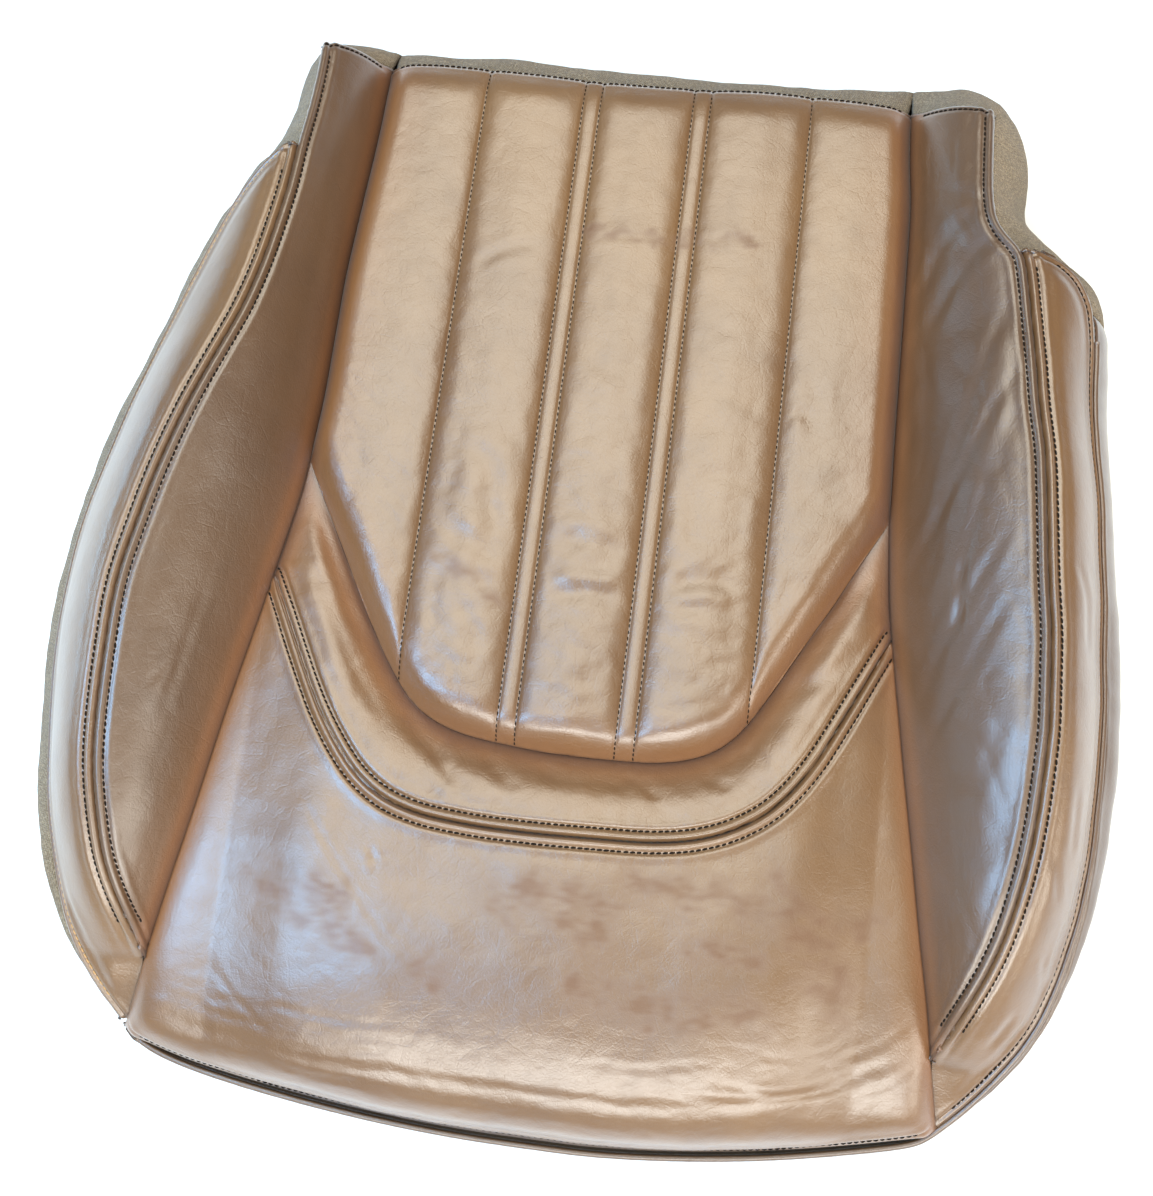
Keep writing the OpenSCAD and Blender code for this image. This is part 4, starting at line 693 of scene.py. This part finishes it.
def key_side(s, y, top):
    """[mid xyz, foot xyz] of the side wall at y"""
    m = float(herm(MID_L if s < 0 else MID_R, y)); fx = min(SIDE_X - 0.1, m - 5)
    return [s * m, y, min(74, top - 6)], [s * fx, y, foot_z(y - SIDE_MY, FLAP_S / 2)]
def key_rear(x):
    b = float(herm(REAR_B, x)); return [x, b, 72], [x, min(b - 6, REAR_FY - 0.1), foot_z(x, FLAP_R / 2)]
def key_front(x):
    y = float(front_y(x)); return [x, y + 1, 40], [x, max(y + 4, FRONT_FY + 0.1), foot_z(x, FLAP_F / 2)]

def arc(c): 
    return np.r_[0, np.cumsum(np.linalg.norm(np.diff(c, axis=0), axis=1))]
def wall(name, node, edge, keys, mat, outward, top_in=0.5, drop=1.2, slack=1.0, closed_top=True, seed=60, leather_wall=False):
    """a wall of the cover, hanging from a panel's edge polyline; keys are (top xy, mid, foot) stations along it"""
    L = arc(edge); s = np.linspace(0, L[-1], int(L[-1] / 2.3) + 2)
    top = np.stack([np.interp(s, L, edge[:, i]) for i in range(3)], 1)
    a = []
    for t, m, f in keys:
        a.append(L[((edge[:, :2] - np.array(t)[None]) ** 2).sum(1).argmin()])
    a = np.maximum.accumulate(np.array(a) + np.arange(len(a)) * 1e-3)
    a[0] = min(a[0], 0); a[-1] = max(a[-1], L[-1])
    mid = np.stack([np.interp(s, a, [k[1][i] for k in keys]) for i in range(3)], 1)
    foot = np.stack([np.interp(s, a, [k[2][i] for k in keys]) for i in range(3)], 1)
    def soft(c, sig, dims):
        w = int(3 * sig / 2.3); kk = np.exp(-0.5 * (np.arange(-w, w + 1) * 2.3 / sig) ** 2); kk /= kk.sum()
        for i in dims:
            e = np.r_[2 * c[0, i] - c[1:w + 1, i][::-1], c[:, i], 2 * c[-1, i] - c[-w - 1:-1, i][::-1]]
            c[:, i] = np.convolve(e, kk, "valid")
    soft(mid, 6, (0, 1, 2)); soft(foot, 4, (0, 1))
    # outward direction: across the plan tangent of the mid line
    tg = np.gradient(mid[:, :2], axis=0); tg /= np.linalg.norm(tg, axis=1, keepdims=True)
    out = np.stack([tg[:, 1], -tg[:, 0]], 1) * outward
    soft2 = out.copy(); out = soft2
    top[:, :2] -= out * top_in; top[:, 2] -= drop
    H = 110.0
    ws = spaced(H, 0.8, 3.2, 9, ends=(1, 0))
    w = ws[:, None, None]
    up, dn = np.clip(w / 0.45, 0, 1), np.clip((w - 0.45) / 0.55, 0, 1)
    xy = np.where(w <= 0.45, top[None, :, :2] + (mid - top)[None, :, :2] * np.sin(np.pi / 2 * up), mid[None, :, :2] + (foot - mid)[None, :, :2] * (1 - np.cos(np.pi / 2 * dn)))
    z = np.where(w[..., 0] <= 0.45, top[None, :, 2] + (mid - top)[None, :, 2] * up[..., 0], mid[None, :, 2] + (foot - mid)[None, :, 2] * dn[..., 0])
    P = np.concatenate([xy, z[..., None]], 2)                                  # rows go down, columns along
    N = normals(P)
    if (N[len(N) // 3, :, :2] * out).sum() < 0: N = -N
    dtop = np.linalg.norm(P - P[:1], axis=2); down = np.cumsum(np.r_[np.zeros((1, P.shape[1])), np.linalg.norm(np.diff(P, axis=0), axis=2)], 0)
    ss = s[None, :] + 0 * down
    ends = sm(0, 10, ss) * sm(0, 10, s[-1] - ss)
    o = sm(1, 12, down) * sm(0, 8, P[..., 2] - 9) * np.where(P[..., 2] > FOLD + 4, 1, 0.35)
    h = slack * o * (1.5 * noise2(ss, down * 0.8, 62, seed) + 0.7 * noise2(ss, down * 0.5, 23, seed + 1) + 0.25 * noise2(ss, down * 0.6, 9, seed + 2))
    h += slack * 0.55 * np.exp(-down / 9) * sm(0.5, 3, down) * noise2(ss, down * 0.15, 7.5, seed + 3)       # gathers under the seam
    h += -0.8 * np.exp(-(down / 1.4) ** 2) * (0.0 if leather_wall else 1.0)
    if leather_wall: h += -0.8 * np.exp(-((down - 3.2) / 0.8) ** 2) + 0.35 * np.exp(-((down - 5.4) / 1.4) ** 2)      # second needle row
    h += -0.9 * (1 - sm(0, 4, np.minimum(ss, s[-1] - ss)))                     # turned in at the end seams
    P = P + N * h[..., None]
    # turn the top edge in under the panel
    tin = np.stack([P[0] + np.c_[-out * 1.2 * j, np.full(len(out), 0.25 * j)] for j in (2, 1)], 0)
    P = np.concatenate([tin, P], 0); down = np.concatenate([down[:1] - 2.4, down[:1] - 1.2, down], 0); ss = np.concatenate([ss[:1], ss[:1], ss], 0)
    N = normals(P)
    if (N[len(N) // 3, :, :2] * out).sum() < 0: P = P[:, ::-1]; down = down[:, ::-1]; ss = ss[:, ::-1]; N = normals(P)
    z0 = np.zeros(P.shape[:2])
    at = {"depth": z0 + 30, "wear": z0, "seamd": np.maximum(down, 0) + 0.8, "stain": z0}
    ob = shell(name, P, N, 1.5, attrs=at, uv=np.stack([ss, down], -1))
    ob.data.materials.append(MATS[mat])
    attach(ob, "cushion"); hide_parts(node)
    CORES[name] = P
    return ob

def tube(name, path, r, n, mat, attrs=None, wob=0.0, seed=90, cap=True, body="cushion"):
    """closed tube along a dense path; r may vary along it"""
    p = np.asarray(path, float); m = len(p); r = np.zeros(m) + r
    t = np.gradient(p, axis=0); t /= np.linalg.norm(t, axis=1, keepdims=True)
    up = np.array([0, 0, 1.0]); a = np.cross(t, up); a /= np.maximum(np.linalg.norm(a, axis=1, keepdims=True), 1e-6); b = np.cross(a, t)
    th = np.arange(n) * 2 * np.pi / n
    rr = r[:, None] * (1 + wob * noise2(arc(p)[:, None] + 0 * th[None], np.sin(th)[None] * 8 + 0 * p[:, :1], 6, seed))
    V = p[:, None] + rr[..., None] * (np.cos(th)[None, :, None] * a[:, None] + np.sin(th)[None, :, None] * b[:, None])
    i, j = np.meshgrid(np.arange(m - 1), np.arange(n), indexing="ij"); k = (j + 1) % n
    F = np.stack([i * n + j, i * n + k, (i + 1) * n + k, (i + 1) * n + j], -1).reshape(-1, 4).tolist()
    V = V.reshape(-1, 3)
    F.append(list(range(n))); F.append(list(range((m - 1) * n, m * n))[::-1])
    at = {"depth": np.full(len(V), 30.0), "wear": np.full(len(V), 0.2), "seamd": np.full(len(V), 4.0), "stain": np.zeros(len(V))}
    ob = make_mesh(name, V, [f[::-1] for f in F], None, at)
    ob.data.materials.append(MATS[mat]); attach(ob, body)
    return ob

# ------------------------------------------------------------------ stitches
CAP_R = [(-1.0, 0.35), (-0.86, 0.8), (-0.5, 1.0), (0.0, 1.06), (0.5, 1.0), (0.86, 0.8), (1.0, 0.35)]
def stitch_mesh(name, rows, mat, length=2.4, dia=0.72, pitch=3.1, lift=0.12, tilt=7.0, body="cushion"):
    """rows: list of (points, normals) polylines on the surface, both (n, 3) in mm"""
    V, F, o = [], [], 0
    r = dia / 2; n = 7; th = np.arange(n) * 2 * np.pi / n
    for P, N in rows:
        L = arc(P)
        if L[-1] < pitch * 1.5: continue
        c = np.arange(pitch * 0.6, L[-1] - pitch * 0.4, pitch)
        c = c + RNG.normal(0, 0.09, len(c))
        p = np.stack([np.interp(c, L, P[:, i]) for i in range(3)], 1)
        e = np.stack([np.interp(c + 0.8, L, P[:, i]) - np.interp(c - 0.8, L, P[:, i]) for i in range(3)], 1)
        nn = np.stack([np.interp(c, L, N[:, i]) for i in range(3)], 1); nn /= np.maximum(np.linalg.norm(nn, axis=1, keepdims=True), 1e-9)
        e /= np.maximum(np.linalg.norm(e, axis=1, keepdims=True), 1e-9); sd = np.cross(nn, e); sd /= np.maximum(np.linalg.norm(sd, axis=1, keepdims=True), 1e-9)
        ang = np.radians(tilt + RNG.normal(0, 2.5, len(c))); e2 = e * np.cos(ang)[:, None] + sd * np.sin(ang)[:, None]; s2 = np.cross(nn, e2)
        ln = length * (1 + RNG.normal(0, 0.05, len(c)))
        rings = []
        for u, k in CAP_R:
            q = p + e2 * (u * ln / 2)[:, None] + nn * (lift - 0.42 * u * u)
            rings.append(q[:, None] + (r * k) * (np.cos(th)[None, :, None] * s2[:, None] + np.sin(th)[None, :, None] * nn[:, None]))
        G = np.stack(rings, 1)            # stitches, rings, sides, 3
        m, q, _, _ = G.shape
        V.append(G.reshape(-1, 3))
        base = o + np.arange(m)[:, None, None] * q * n
        i, j = np.meshgrid(np.arange(q - 1), np.arange(n), indexing="ij"); k = (j + 1) % n
        f = np.stack([i * n + j, (i + 1) * n + j, (i + 1) * n + k, i * n + k], -1).reshape(1, -1, 4) + base
        F += f.reshape(-1, 4)[:, ::-1].tolist()
        caps0 = (base[:, 0, 0][:, None] + np.arange(n)[None]).tolist(); caps1 = (base[:, 0, 0][:, None] + (q - 1) * n + np.arange(n)[None]).tolist()
        F += [x[::-1] for x in caps0][::1]; F += caps1
        o += m * q * n
    ob = make_mesh(name, np.vstack(V), F)
    ob.data.materials.append(MATS[mat]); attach(ob, body)
    return ob

def row_at(name, edge, offset, lo=None, hi=None, axis=1, trim=2.0):
    """the polyline on a panel at a 3-D distance offset from one of its edges; lo, hi cut it along axis"""
    G = CORES[name]; N = normals(G)
    if edge in ("left", "right"): G = G if edge == "left" else G[:, ::-1]; N = N if edge == "left" else N[:, ::-1]
    else:
        G = G.transpose(1, 0, 2); N = N.transpose(1, 0, 2)
        if edge == "rear": G = G[:, ::-1]; N = N[:, ::-1]
    b = G[:, 0]
    K = min(G.shape[1], 40)
    D, _ = dist(G[:, :K], b, 3)
    D = np.maximum.accumulate(D, axis=1) + np.arange(K)[None] * 1e-6
    P, Q = [], []
    for i in range(len(G)):
        if D[i, -1] < offset: continue
        j = np.searchsorted(D[i], offset); t = (offset - D[i, j - 1]) / (D[i, j] - D[i, j - 1])
        P.append(G[i, j - 1] * (1 - t) + G[i, j] * t); Q.append(N[i, j - 1] * (1 - t) + N[i, j] * t)
    P, Q = np.array(P), np.array(Q)
    m = np.ones(len(P), bool)
    if lo is not None: m &= P[:, axis] > lo
    if hi is not None: m &= P[:, axis] < hi
    P, Q = P[m], Q[m]
    # a light smoothing, since the needle line doesn't follow every wrinkle
    if len(P) > 8:
        k = np.array([1, 2, 3, 2, 1]) / 9.0
        S = np.stack([np.convolve(np.r_[P[0, i], P[0, i], P[:, i], P[-1, i], P[-1, i]], k, "valid") for i in range(3)], 1)
        P[2:-2, :2] = S[2:-2, :2]
    return P, Q
def wall_row(name, offset):
    """stitch row along the top of a wall, offset mm down from its turned-in edge"""
    G = CORES[name]; N = normals(G); D = np.cumsum(np.r_[np.zeros((1, G.shape[1])), np.linalg.norm(np.diff(G, axis=0), axis=2)], 0)
    P, Q = [], []
    for j in range(G.shape[1]):
        i = np.searchsorted(D[:, j], offset); t = (offset - D[i - 1, j]) / (D[i, j] - D[i - 1, j])
        P.append(G[i - 1, j] * (1 - t) + G[i, j] * t); Q.append(N[i - 1, j] * (1 - t) + N[i, j] * t)
    return np.array(P), np.array(Q)
def column_at(name, x, y0=None, y1=None):
    G = CORES[name]; N = normals(G)
    j = np.abs(np.median(G[5:-5, :, 0], axis=0) - x).argmin()
    P, Q = G[:, j], N[:, j]; m = np.ones(len(P), bool)
    if y0 is not None: m &= P[:, 1] > y0
    if y1 is not None: m &= P[:, 1] < y1
    return P[m], Q[m]

# ------------------------------------------------------------------ the cover's panels
make_insert(); make_band(); make_nose()
for side in ("left", "right"):
    make_inner(side); make_outer(side)

# ------------------------------------------------------------------ walls
def clean(c):
    """drop repeated points"""
    c = np.asarray(c, float); keep = np.r_[True, np.linalg.norm(np.diff(c, axis=0), axis=1) > 0.05]; return c[keep]
LO, RO, LI, RI = (CORES[k] for k in ("left_bolster_outer_leather", "right_bolster_outer_leather", "left_bolster_inner_leather", "right_bolster_inner_leather"))
NO, INS = CORES["nose_leather"], CORES["insert_leather"]
def key(top, mf): return (np.array(top, float)[:2], mf[0], mf[1])
def side_keys(s, E, ys):
    f = Fn(E, 1, 0); fz = Fn(E, 1, 2); return [key((float(f(y)), y), key_side(s, y, float(fz(y)))) for y in ys]
s0, s1 = SIDE_MY - FLAP_S / 2 - 1.5, SIDE_MY + FLAP_S / 2 + 1.5
ys_all = [-249, -240, -230, -216, -196, -176, s0 - 1, s0 + 1, -120, -80, -40, 0, s1 - 1, s1 + 1, 65, 95, 120]
leftE = clean(LO[:, 0]); rightE = clean(RO[:, -1])
wall("left_wall_knit", "left_fascia", leftE[leftE[:, 1] < 157.9], side_keys(-1, leftE, ys_all + [157.9]), "knit", -1, seed=60)
wall("right_wall_leather", "right_fascia", rightE[rightE[:, 1] < 141.9], side_keys(1, rightE, ys_all + [141.9]), "leather_shaded", 1, drop=3.4, top_in=-0.6, slack=0.7, seed=64, leather_wall=True)
fe = clean(NO[0])
xs = [-193.5, -182, -160, -FLAP_F / 2 - 2.5, -FLAP_F / 2 - 0.5, -90, -45, 0, 45, 90, FLAP_F / 2 + 0.5, FLAP_F / 2 + 2.5, 160, 182, 193.5]
wall("front_wall_leather", "front_fascia", fe, [key((x, float(front_y(x))), key_front(x)) for x in xs], "leather_shaded", 1, drop=3.6, top_in=-2.6, slack=0.7, seed=68, leather_wall=True)
re_ = clean(INS[-1])
rx = [-138.5, -FLAP_R / 2 - 2.5, -FLAP_R / 2 - 0.5, -80, -40, 0, 40, 80, FLAP_R / 2 + 0.5, FLAP_R / 2 + 2.5, 138.5]
wall("rear_wall_knit", "rear_fascia", re_, [key((x, float(rear_yx(x))), key_rear(x)) for x in rx], "knit", -1, seed=72)
def gusset(s):
    outer, inner, rear_row = (leftE, LI[:, 0], LI[-1][::1]) if s < 0 else (rightE, RI[:, -1], RI[-1][::-1])
    y0, yR = (157.9, 183.5) if s < 0 else (141.9, 161.5)
    a = outer[outer[:, 1] >= y0]; b = inner[inner[:, 1] > yR]; 
    edge = clean(np.vstack([a, b, rear_row[1:]]))
    f, fz = Fn(edge[:len(a) + len(b)], 1, 0), Fn(edge[:len(a) + len(b)], 1, 2)
    ys = [158.3, 172, 184, 200, 220, 237] if s < 0 else [142.3, 152, 160, 165, 172, 180, 188, 198, 215, 237]
    keys = [key((float(f(y)), y), key_side(s, y, float(fz(y)))) for y in ys]
    q = (183, 258) if s < 0 else (191, 264)
    corner = rear_row[0] if s > 0 else rear_row[0]
    keys.append(key(corner[:2], ([s * q[0], q[1], 73], [s * (q[0] - 4), q[1] - 4, 8])))
    for x in (166, 156, 146, 137):
        i = np.abs(np.abs(rear_row[:, 0]) - min(x, 172)).argmin(); keys.append(key(rear_row[i, :2], key_rear(s * x)))
    name = ("left" if s < 0 else "right") + "_gusset_knit"
    wall(name, ("left" if s < 0 else "right") + "_rear_gusset", edge, keys, "knit", -1 if s < 0 else 1, seed=76 + s, slack=1.1)
gusset(-1); gusset(1)

# ------------------------------------------------------------------ piping under the front edge and up the right edge
fr = fe[(fe[:, 0] > -190) & (fe[:, 0] < 188)]; rt = rightE[(rightE[:, 1] > -243) & (rightE[:, 1] < 127)]
def aside(c, o, dz):
    t = np.gradient(c[:, :2], axis=0); t /= np.maximum(np.linalg.norm(t, axis=1, keepdims=True), 1e-9)
    q = c.copy(); q[:, 0] += t[:, 1] * o; q[:, 1] -= t[:, 0] * o; q[:, 2] += dz; return q
pf = dense(fr, 2, 3); pf[:, 1] -= 0.2 + 3.1 * (1 - np.exp(-(pf[:, 0] + 190) / 7)) * (1 - 0.45 * np.exp(-(188 - pf[:, 0]) / 7)); pf[:, 2] -= 1.9; pr_ = aside(dense(rt, 2, 3), 1.5, -1.6)
path = dense(np.vstack([pf, pr_]), 2.0, 4)
w = tube("edge_piping_leather", path, 1.55, 12, "leather_shaded", wob=0.05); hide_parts("edge_welt")

# ------------------------------------------------------------------ stitching
dark, pleat, tan = [], [], []
dark += [row_at("nose_leather", "rear", 5.0), row_at("thigh_band_leather", "front", 5.0)]
for s, sd in ((-1, "left"), (1, "right")):
    e_in, e_out = ("left", "right") if s < 0 else ("right", "left")
    dark.append(row_at(sd + "_bolster_inner_leather", e_in, 5.0, -206, 240)); dark.append(row_at(sd + "_bolster_outer_leather", e_out, 5.0, -206, 170 if s < 0 else 156))
dark.append(row_at("nose_leather", "front", 6.5, -188, 186, 0)); dark.append(row_at("insert_leather", "rear", 2.2, -134, 133, 0))
dark.append(row_at("right_bolster_outer_leather", "right", 3.2, -240, 158))
for wn in ("right_wall_leather", "front_wall_leather"): dark.append(wall_row(wn, 3.2 + 2.4))
for sd in ("left", "right"): dark.append(row_at(sd + "_bolster_inner_leather", "rear", 2.6, 142 if sd == "right" else -168, 172 if sd == "right" else -142, 0))
tan.append(row_at("left_bolster_outer_leather", "left", 3.2, -240, 180))
for p in PLEATS: pleat.append(column_at("insert_leather", p, None, 252))
stitch_mesh("seam_stitches", dark, "thread_dark", length=2.6, dia=0.9, pitch=3.05, lift=0.22)
stitch_mesh("edge_stitches", tan, "thread_tan", length=2.6, dia=0.85, pitch=3.1, lift=0.22)
stitch_mesh("pleat_stitches", pleat, "thread_dark", length=2.4, dia=0.62, pitch=3.0, lift=0.12, tilt=4)

# ------------------------------------------------------------------ padding inside: rounded copies of the foam, wadding, felt and hems
def deep_noise(co, amp, scale, seed):
    c = co * 1000
    return amp * MM * (noise2(c[:, 0] + 0.7 * c[:, 2], c[:, 1], scale, seed) + 0.5 * noise2(c[:, 0], c[:, 2] + 0.6 * c[:, 1], scale * 0.4, seed + 1))
def soften(node, name, mat, voxel, smooth_n, inset=0.6, amp=0.5, seed=110):
    src = frame["nodes"][node]
    me = src.data.copy(); me.materials.clear()
    o = bpy.data.objects.new(name, me); bpy.context.scene.collection.objects.link(o)
    if voxel < 0:
        bm = bmesh.new(); bm.from_mesh(me); co = np.array([v.co for v in bm.verts])
        for ax in (0, 1):
            for c in np.arange(co[:, ax].min() - voxel * MM / 2, co[:, ax].max(), -voxel * MM):
                cut = Vector((0, 0, 0)); cut[ax] = c; nn = Vector((0, 0, 0)); nn[ax] = 1
                bmesh.ops.bisect_plane(bm, geom=bm.verts[:] + bm.edges[:] + bm.faces[:], dist=1e-6, plane_co=cut, plane_no=nn)
        bm.to_mesh(me); bm.free()
    elif voxel:
        m = o.modifiers.new("v", "REMESH"); m.mode = "VOXEL"; m.voxel_size = voxel * MM; m.use_smooth_shade = True
        c = o.modifiers.new("s", "SMOOTH"); c.factor = 0.5; c.iterations = smooth_n
        dg = bpy.context.evaluated_depsgraph_get(); ev = o.evaluated_get(dg); new = bpy.data.meshes.new_from_object(ev)
        o.modifiers.clear(); old = o.data; o.data = new; bpy.data.meshes.remove(old); new.name = name
    n = len(o.data.vertices); co = np.empty(n * 3); o.data.vertices.foreach_get("co", co); co = co.reshape(-1, 3)
    no = np.empty(n * 3); o.data.vertices.foreach_get("normal", no); no = no.reshape(-1, 3)
    co = co + no * (deep_noise(co, amp, 24, seed) - inset * MM)[:, None]
    o.data.vertices.foreach_set("co", co.ravel()); o.data.update()
    o.data.polygons.foreach_set("use_smooth", [voxel > 0] * len(o.data.polygons))
    o.data.materials.clear(); o.data.materials.append(MATS[mat])
    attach(o, frame["nodes"][node]["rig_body"]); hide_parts(node)
    return o
soften("foam_bun", "seat_foam_base", "foam", 5, 4, seed=110)
soften("nose_foam", "seat_foam_nose", "foam", 5, 3, seed=112)
soften("centre_foam", "seat_foam_centre", "foam", 5, 3, seed=114)
soften("left_bolster_foam", "seat_foam_left_bolster", "foam", 5, 3, seed=116)
soften("right_bolster_foam", "seat_foam_right_bolster", "foam", 5, 3, seed=118)
soften("insert_wadding", "insert_wadding_fleece", "wadding", 2.5, 2, inset=0.2, amp=0.25, seed=120)
soften("base_felt", "base_felt_pad", "felt", -7, 0, inset=0.0, amp=0.3, seed=122)
for sd in ("left", "right", "front"):
    soften(sd + "_listing_sleeve", sd + "_listing_sleeve_cloth", "sleeve", 0.5, 1, inset=0.0, amp=0.08, seed=124)

# ------------------------------------------------------------------ rigid CAD parts get their own finish
for n_, o_ in frame["nodes"].items():
    m_ = "wire" if n_.endswith("_wire") or n_ == "hog_rings" else "channel" if n_.endswith("j_channel") else None
    if m_:
        o_.data.materials.clear(); o_.data.materials.append(MATS[m_])

# ------------------------------------------------------------------ flap webbing: woven strip, sewn behind the wall above the fold
def webbing(side, L, at, yaw):
    """profile down the strip: (offset outwards, height); local x along the strip, local -y outwards"""
    prof = [(-2.6, 42), (-2.6, 39), (-2.55, 36.5), (-2.3, 34.5), (-1.6, 33), (-0.75, 31.6), (-0.2, 30.4), (0, 29), (0, 27), (0, 24), (0, 21), (0, 18), (0, 15), (0, 12), (0, 9.6), (0, 8.2)]
    prof = dense([(a, 0, b) for a, b in prof], 0.9, 0.7)[:, [0, 2]]
    xs = np.linspace(-L / 2 + 0.2, L / 2 - 0.2, int(L / 2.0))
    X = np.repeat(xs[None], len(prof), 0); O = np.repeat(prof[:, :1], len(xs), 1); Z = np.repeat(prof[:, 1:], len(xs), 1)
    dn = arc(np.c_[prof, 0 * prof[:, :1]])[:, None] + 0 * X
    O = O + 0.16 * noise2(X, dn, 30, 130) * sm(30, 22, Z) * sm(17.5, 21, Z) + 0.10 * np.exp(-((dn - dn[-1] + 0.8) / 0.7) ** 2) * 0
    P = np.stack([X, -(O + 0.0) + 0.0, Z], -1)
    N = normals(P)
    if N[len(N) // 2, :, 1].mean() > 0: P = P[:, ::-1]; X = X[:, ::-1]; dn = dn[:, ::-1]; N = normals(P)
    P = P + np.array([0, 0.05, 0])
    o = shell(side + "_flap_strap", P, N, 1.35, uv=np.stack([X, dn], -1))
    c, s = math.cos(yaw), math.sin(yaw)
    M = Matrix(((c, -s, 0, at[0] * MM), (s, c, 0, at[1] * MM), (0, 0, 1, 0), (0, 0, 0, 1)))
    o.data.transform(M); o.data.update()
    o.data.materials.append(MATS["webbing"])
    out = Vector((s, -c, 0))
    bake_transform(o)
    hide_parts(side + "_flap_webbing")
    # the zigzag that fixes it to the channel
    xs = np.arange(-L / 2 + 14, L / 2 - 14, 0.5)
    zig = np.stack([xs, 0 * xs - 0.05, 14.6 + 1.6 * (np.abs(((xs / 4.2) % 1) * 2 - 1) * 2 - 1)], 1)
    nn = np.tile([[0, -1.0, 0]], (len(xs), 1))
    R_ = np.array([[c, -s, 0], [s, c, 0], [0, 0, 1]])
    t = zig @ R_.T + np.array([at[0], at[1], 0]); nn = nn @ R_.T
    stitch_mesh(side + "_flap_stitches", [(t, nn)], "thread_tan", length=1.9, dia=0.6, pitch=2.35, lift=0.1, tilt=0, body=side + "_flap")
    return o
webbing("front", FLAP_F, (0, FRONT_FY), 0.0)
webbing("rear", FLAP_R, (0, REAR_FY), math.pi)
webbing("left", FLAP_S, (-SIDE_X, SIDE_MY), -math.pi / 2)
webbing("right", FLAP_S, (SIDE_X, SIDE_MY), math.pi / 2)

# ------------------------------------------------------------------ floor, light and camera
scene = bpy.context.scene
scene.view_settings.view_transform = "Standard"
fl = make_mesh("floor", [(-6000, -6000, -0.5), (6000, -6000, -0.5), (6000, 6000, -0.5), (-6000, 6000, -0.5)], [(0, 1, 2, 3)])
ft = NT("floor_paper"); ft.set(ft.b, Roughness=0.75); ft.b.inputs["Specular IOR Level"].default_value = 0.2
ft.link(ft.ramp(ft.noise(1.3, 2, 0.5), [(0.3, (0.80, 0.80, 0.80)), (0.7, (0.84, 0.84, 0.84))]), ft.b.inputs["Base Color"])
fl.data.materials.append(ft.m)

world = bpy.data.worlds.new("studio"); scene.world = world; world.use_nodes = True
wb = world.node_tree.nodes["Background"]; wb.inputs[0].default_value = (0.97, 0.98, 1.0, 1); wb.inputs[1].default_value = 0.25
def area(name, loc, target, size, power, color=(1, 1, 1)):
    d = bpy.data.lights.new(name, "AREA"); d.shape = "RECTANGLE"; d.size, d.size_y = size; d.energy = power; d.color = color
    o = bpy.data.objects.new(name, d); scene.collection.objects.link(o); o.location = loc
    o.rotation_euler = (Vector(target) - Vector(loc)).to_track_quat("-Z", "Y").to_euler(); return o
area("top_softbox", (-0.15, 0.76, 2.0), (0, 0.1, 0.1), (1.7, 1.6), 48, (1.0, 0.975, 0.84))
area("window_high", (-1.15, -0.45, 1.9), (0, -0.1, 0.1), (0.6, 1.1), 50, (0.26, 0.60, 1.0))
area("window_low", (-2.1, 0.3, 0.22), (0, 0, 0.12), (1.2, 0.24), 12, (0.36, 0.70, 1.0))
area("front_window", (0.25, -1.65, 1.6), (0, -0.1, 0.1), (2.3, 0.6), 68, (0.98, 1.0, 0.96))
area("right_window", (1.7, -0.8, 1.05), (0, 0, 0.1), (0.9, 0.8), 20, (1.0, 0.98, 0.88))

dx = Vector((0.9911, 0.1124, -0.0721)).normalized(); dy = Vector((0.1264, -0.9636, 0.2355)); dy = (dy - dx * dy.dot(dx)).normalized(); dz = dx.cross(dy)
r0, r1, r2 = Vector((dx[0], dy[0], dz[0])), Vector((dx[1], dy[1], dz[1])), Vector((dx[2], dy[2], dz[2]))      # right, down and forward
cam = bpy.data.objects.new("camera", bpy.data.cameras.new("camera")); scene.collection.objects.link(cam)
cam.data.lens = 50.03; cam.data.sensor_width = 36; cam.data.sensor_fit = "AUTO"; cam.data.clip_start = 0.01; cam.data.clip_end = 50
Mx = Matrix((r0, -r1, -r2)).transposed().to_4x4(); Mx.translation = Vector((0.0548, -0.2148, 0.8721)); cam.matrix_world = Mx
scene.camera = cam
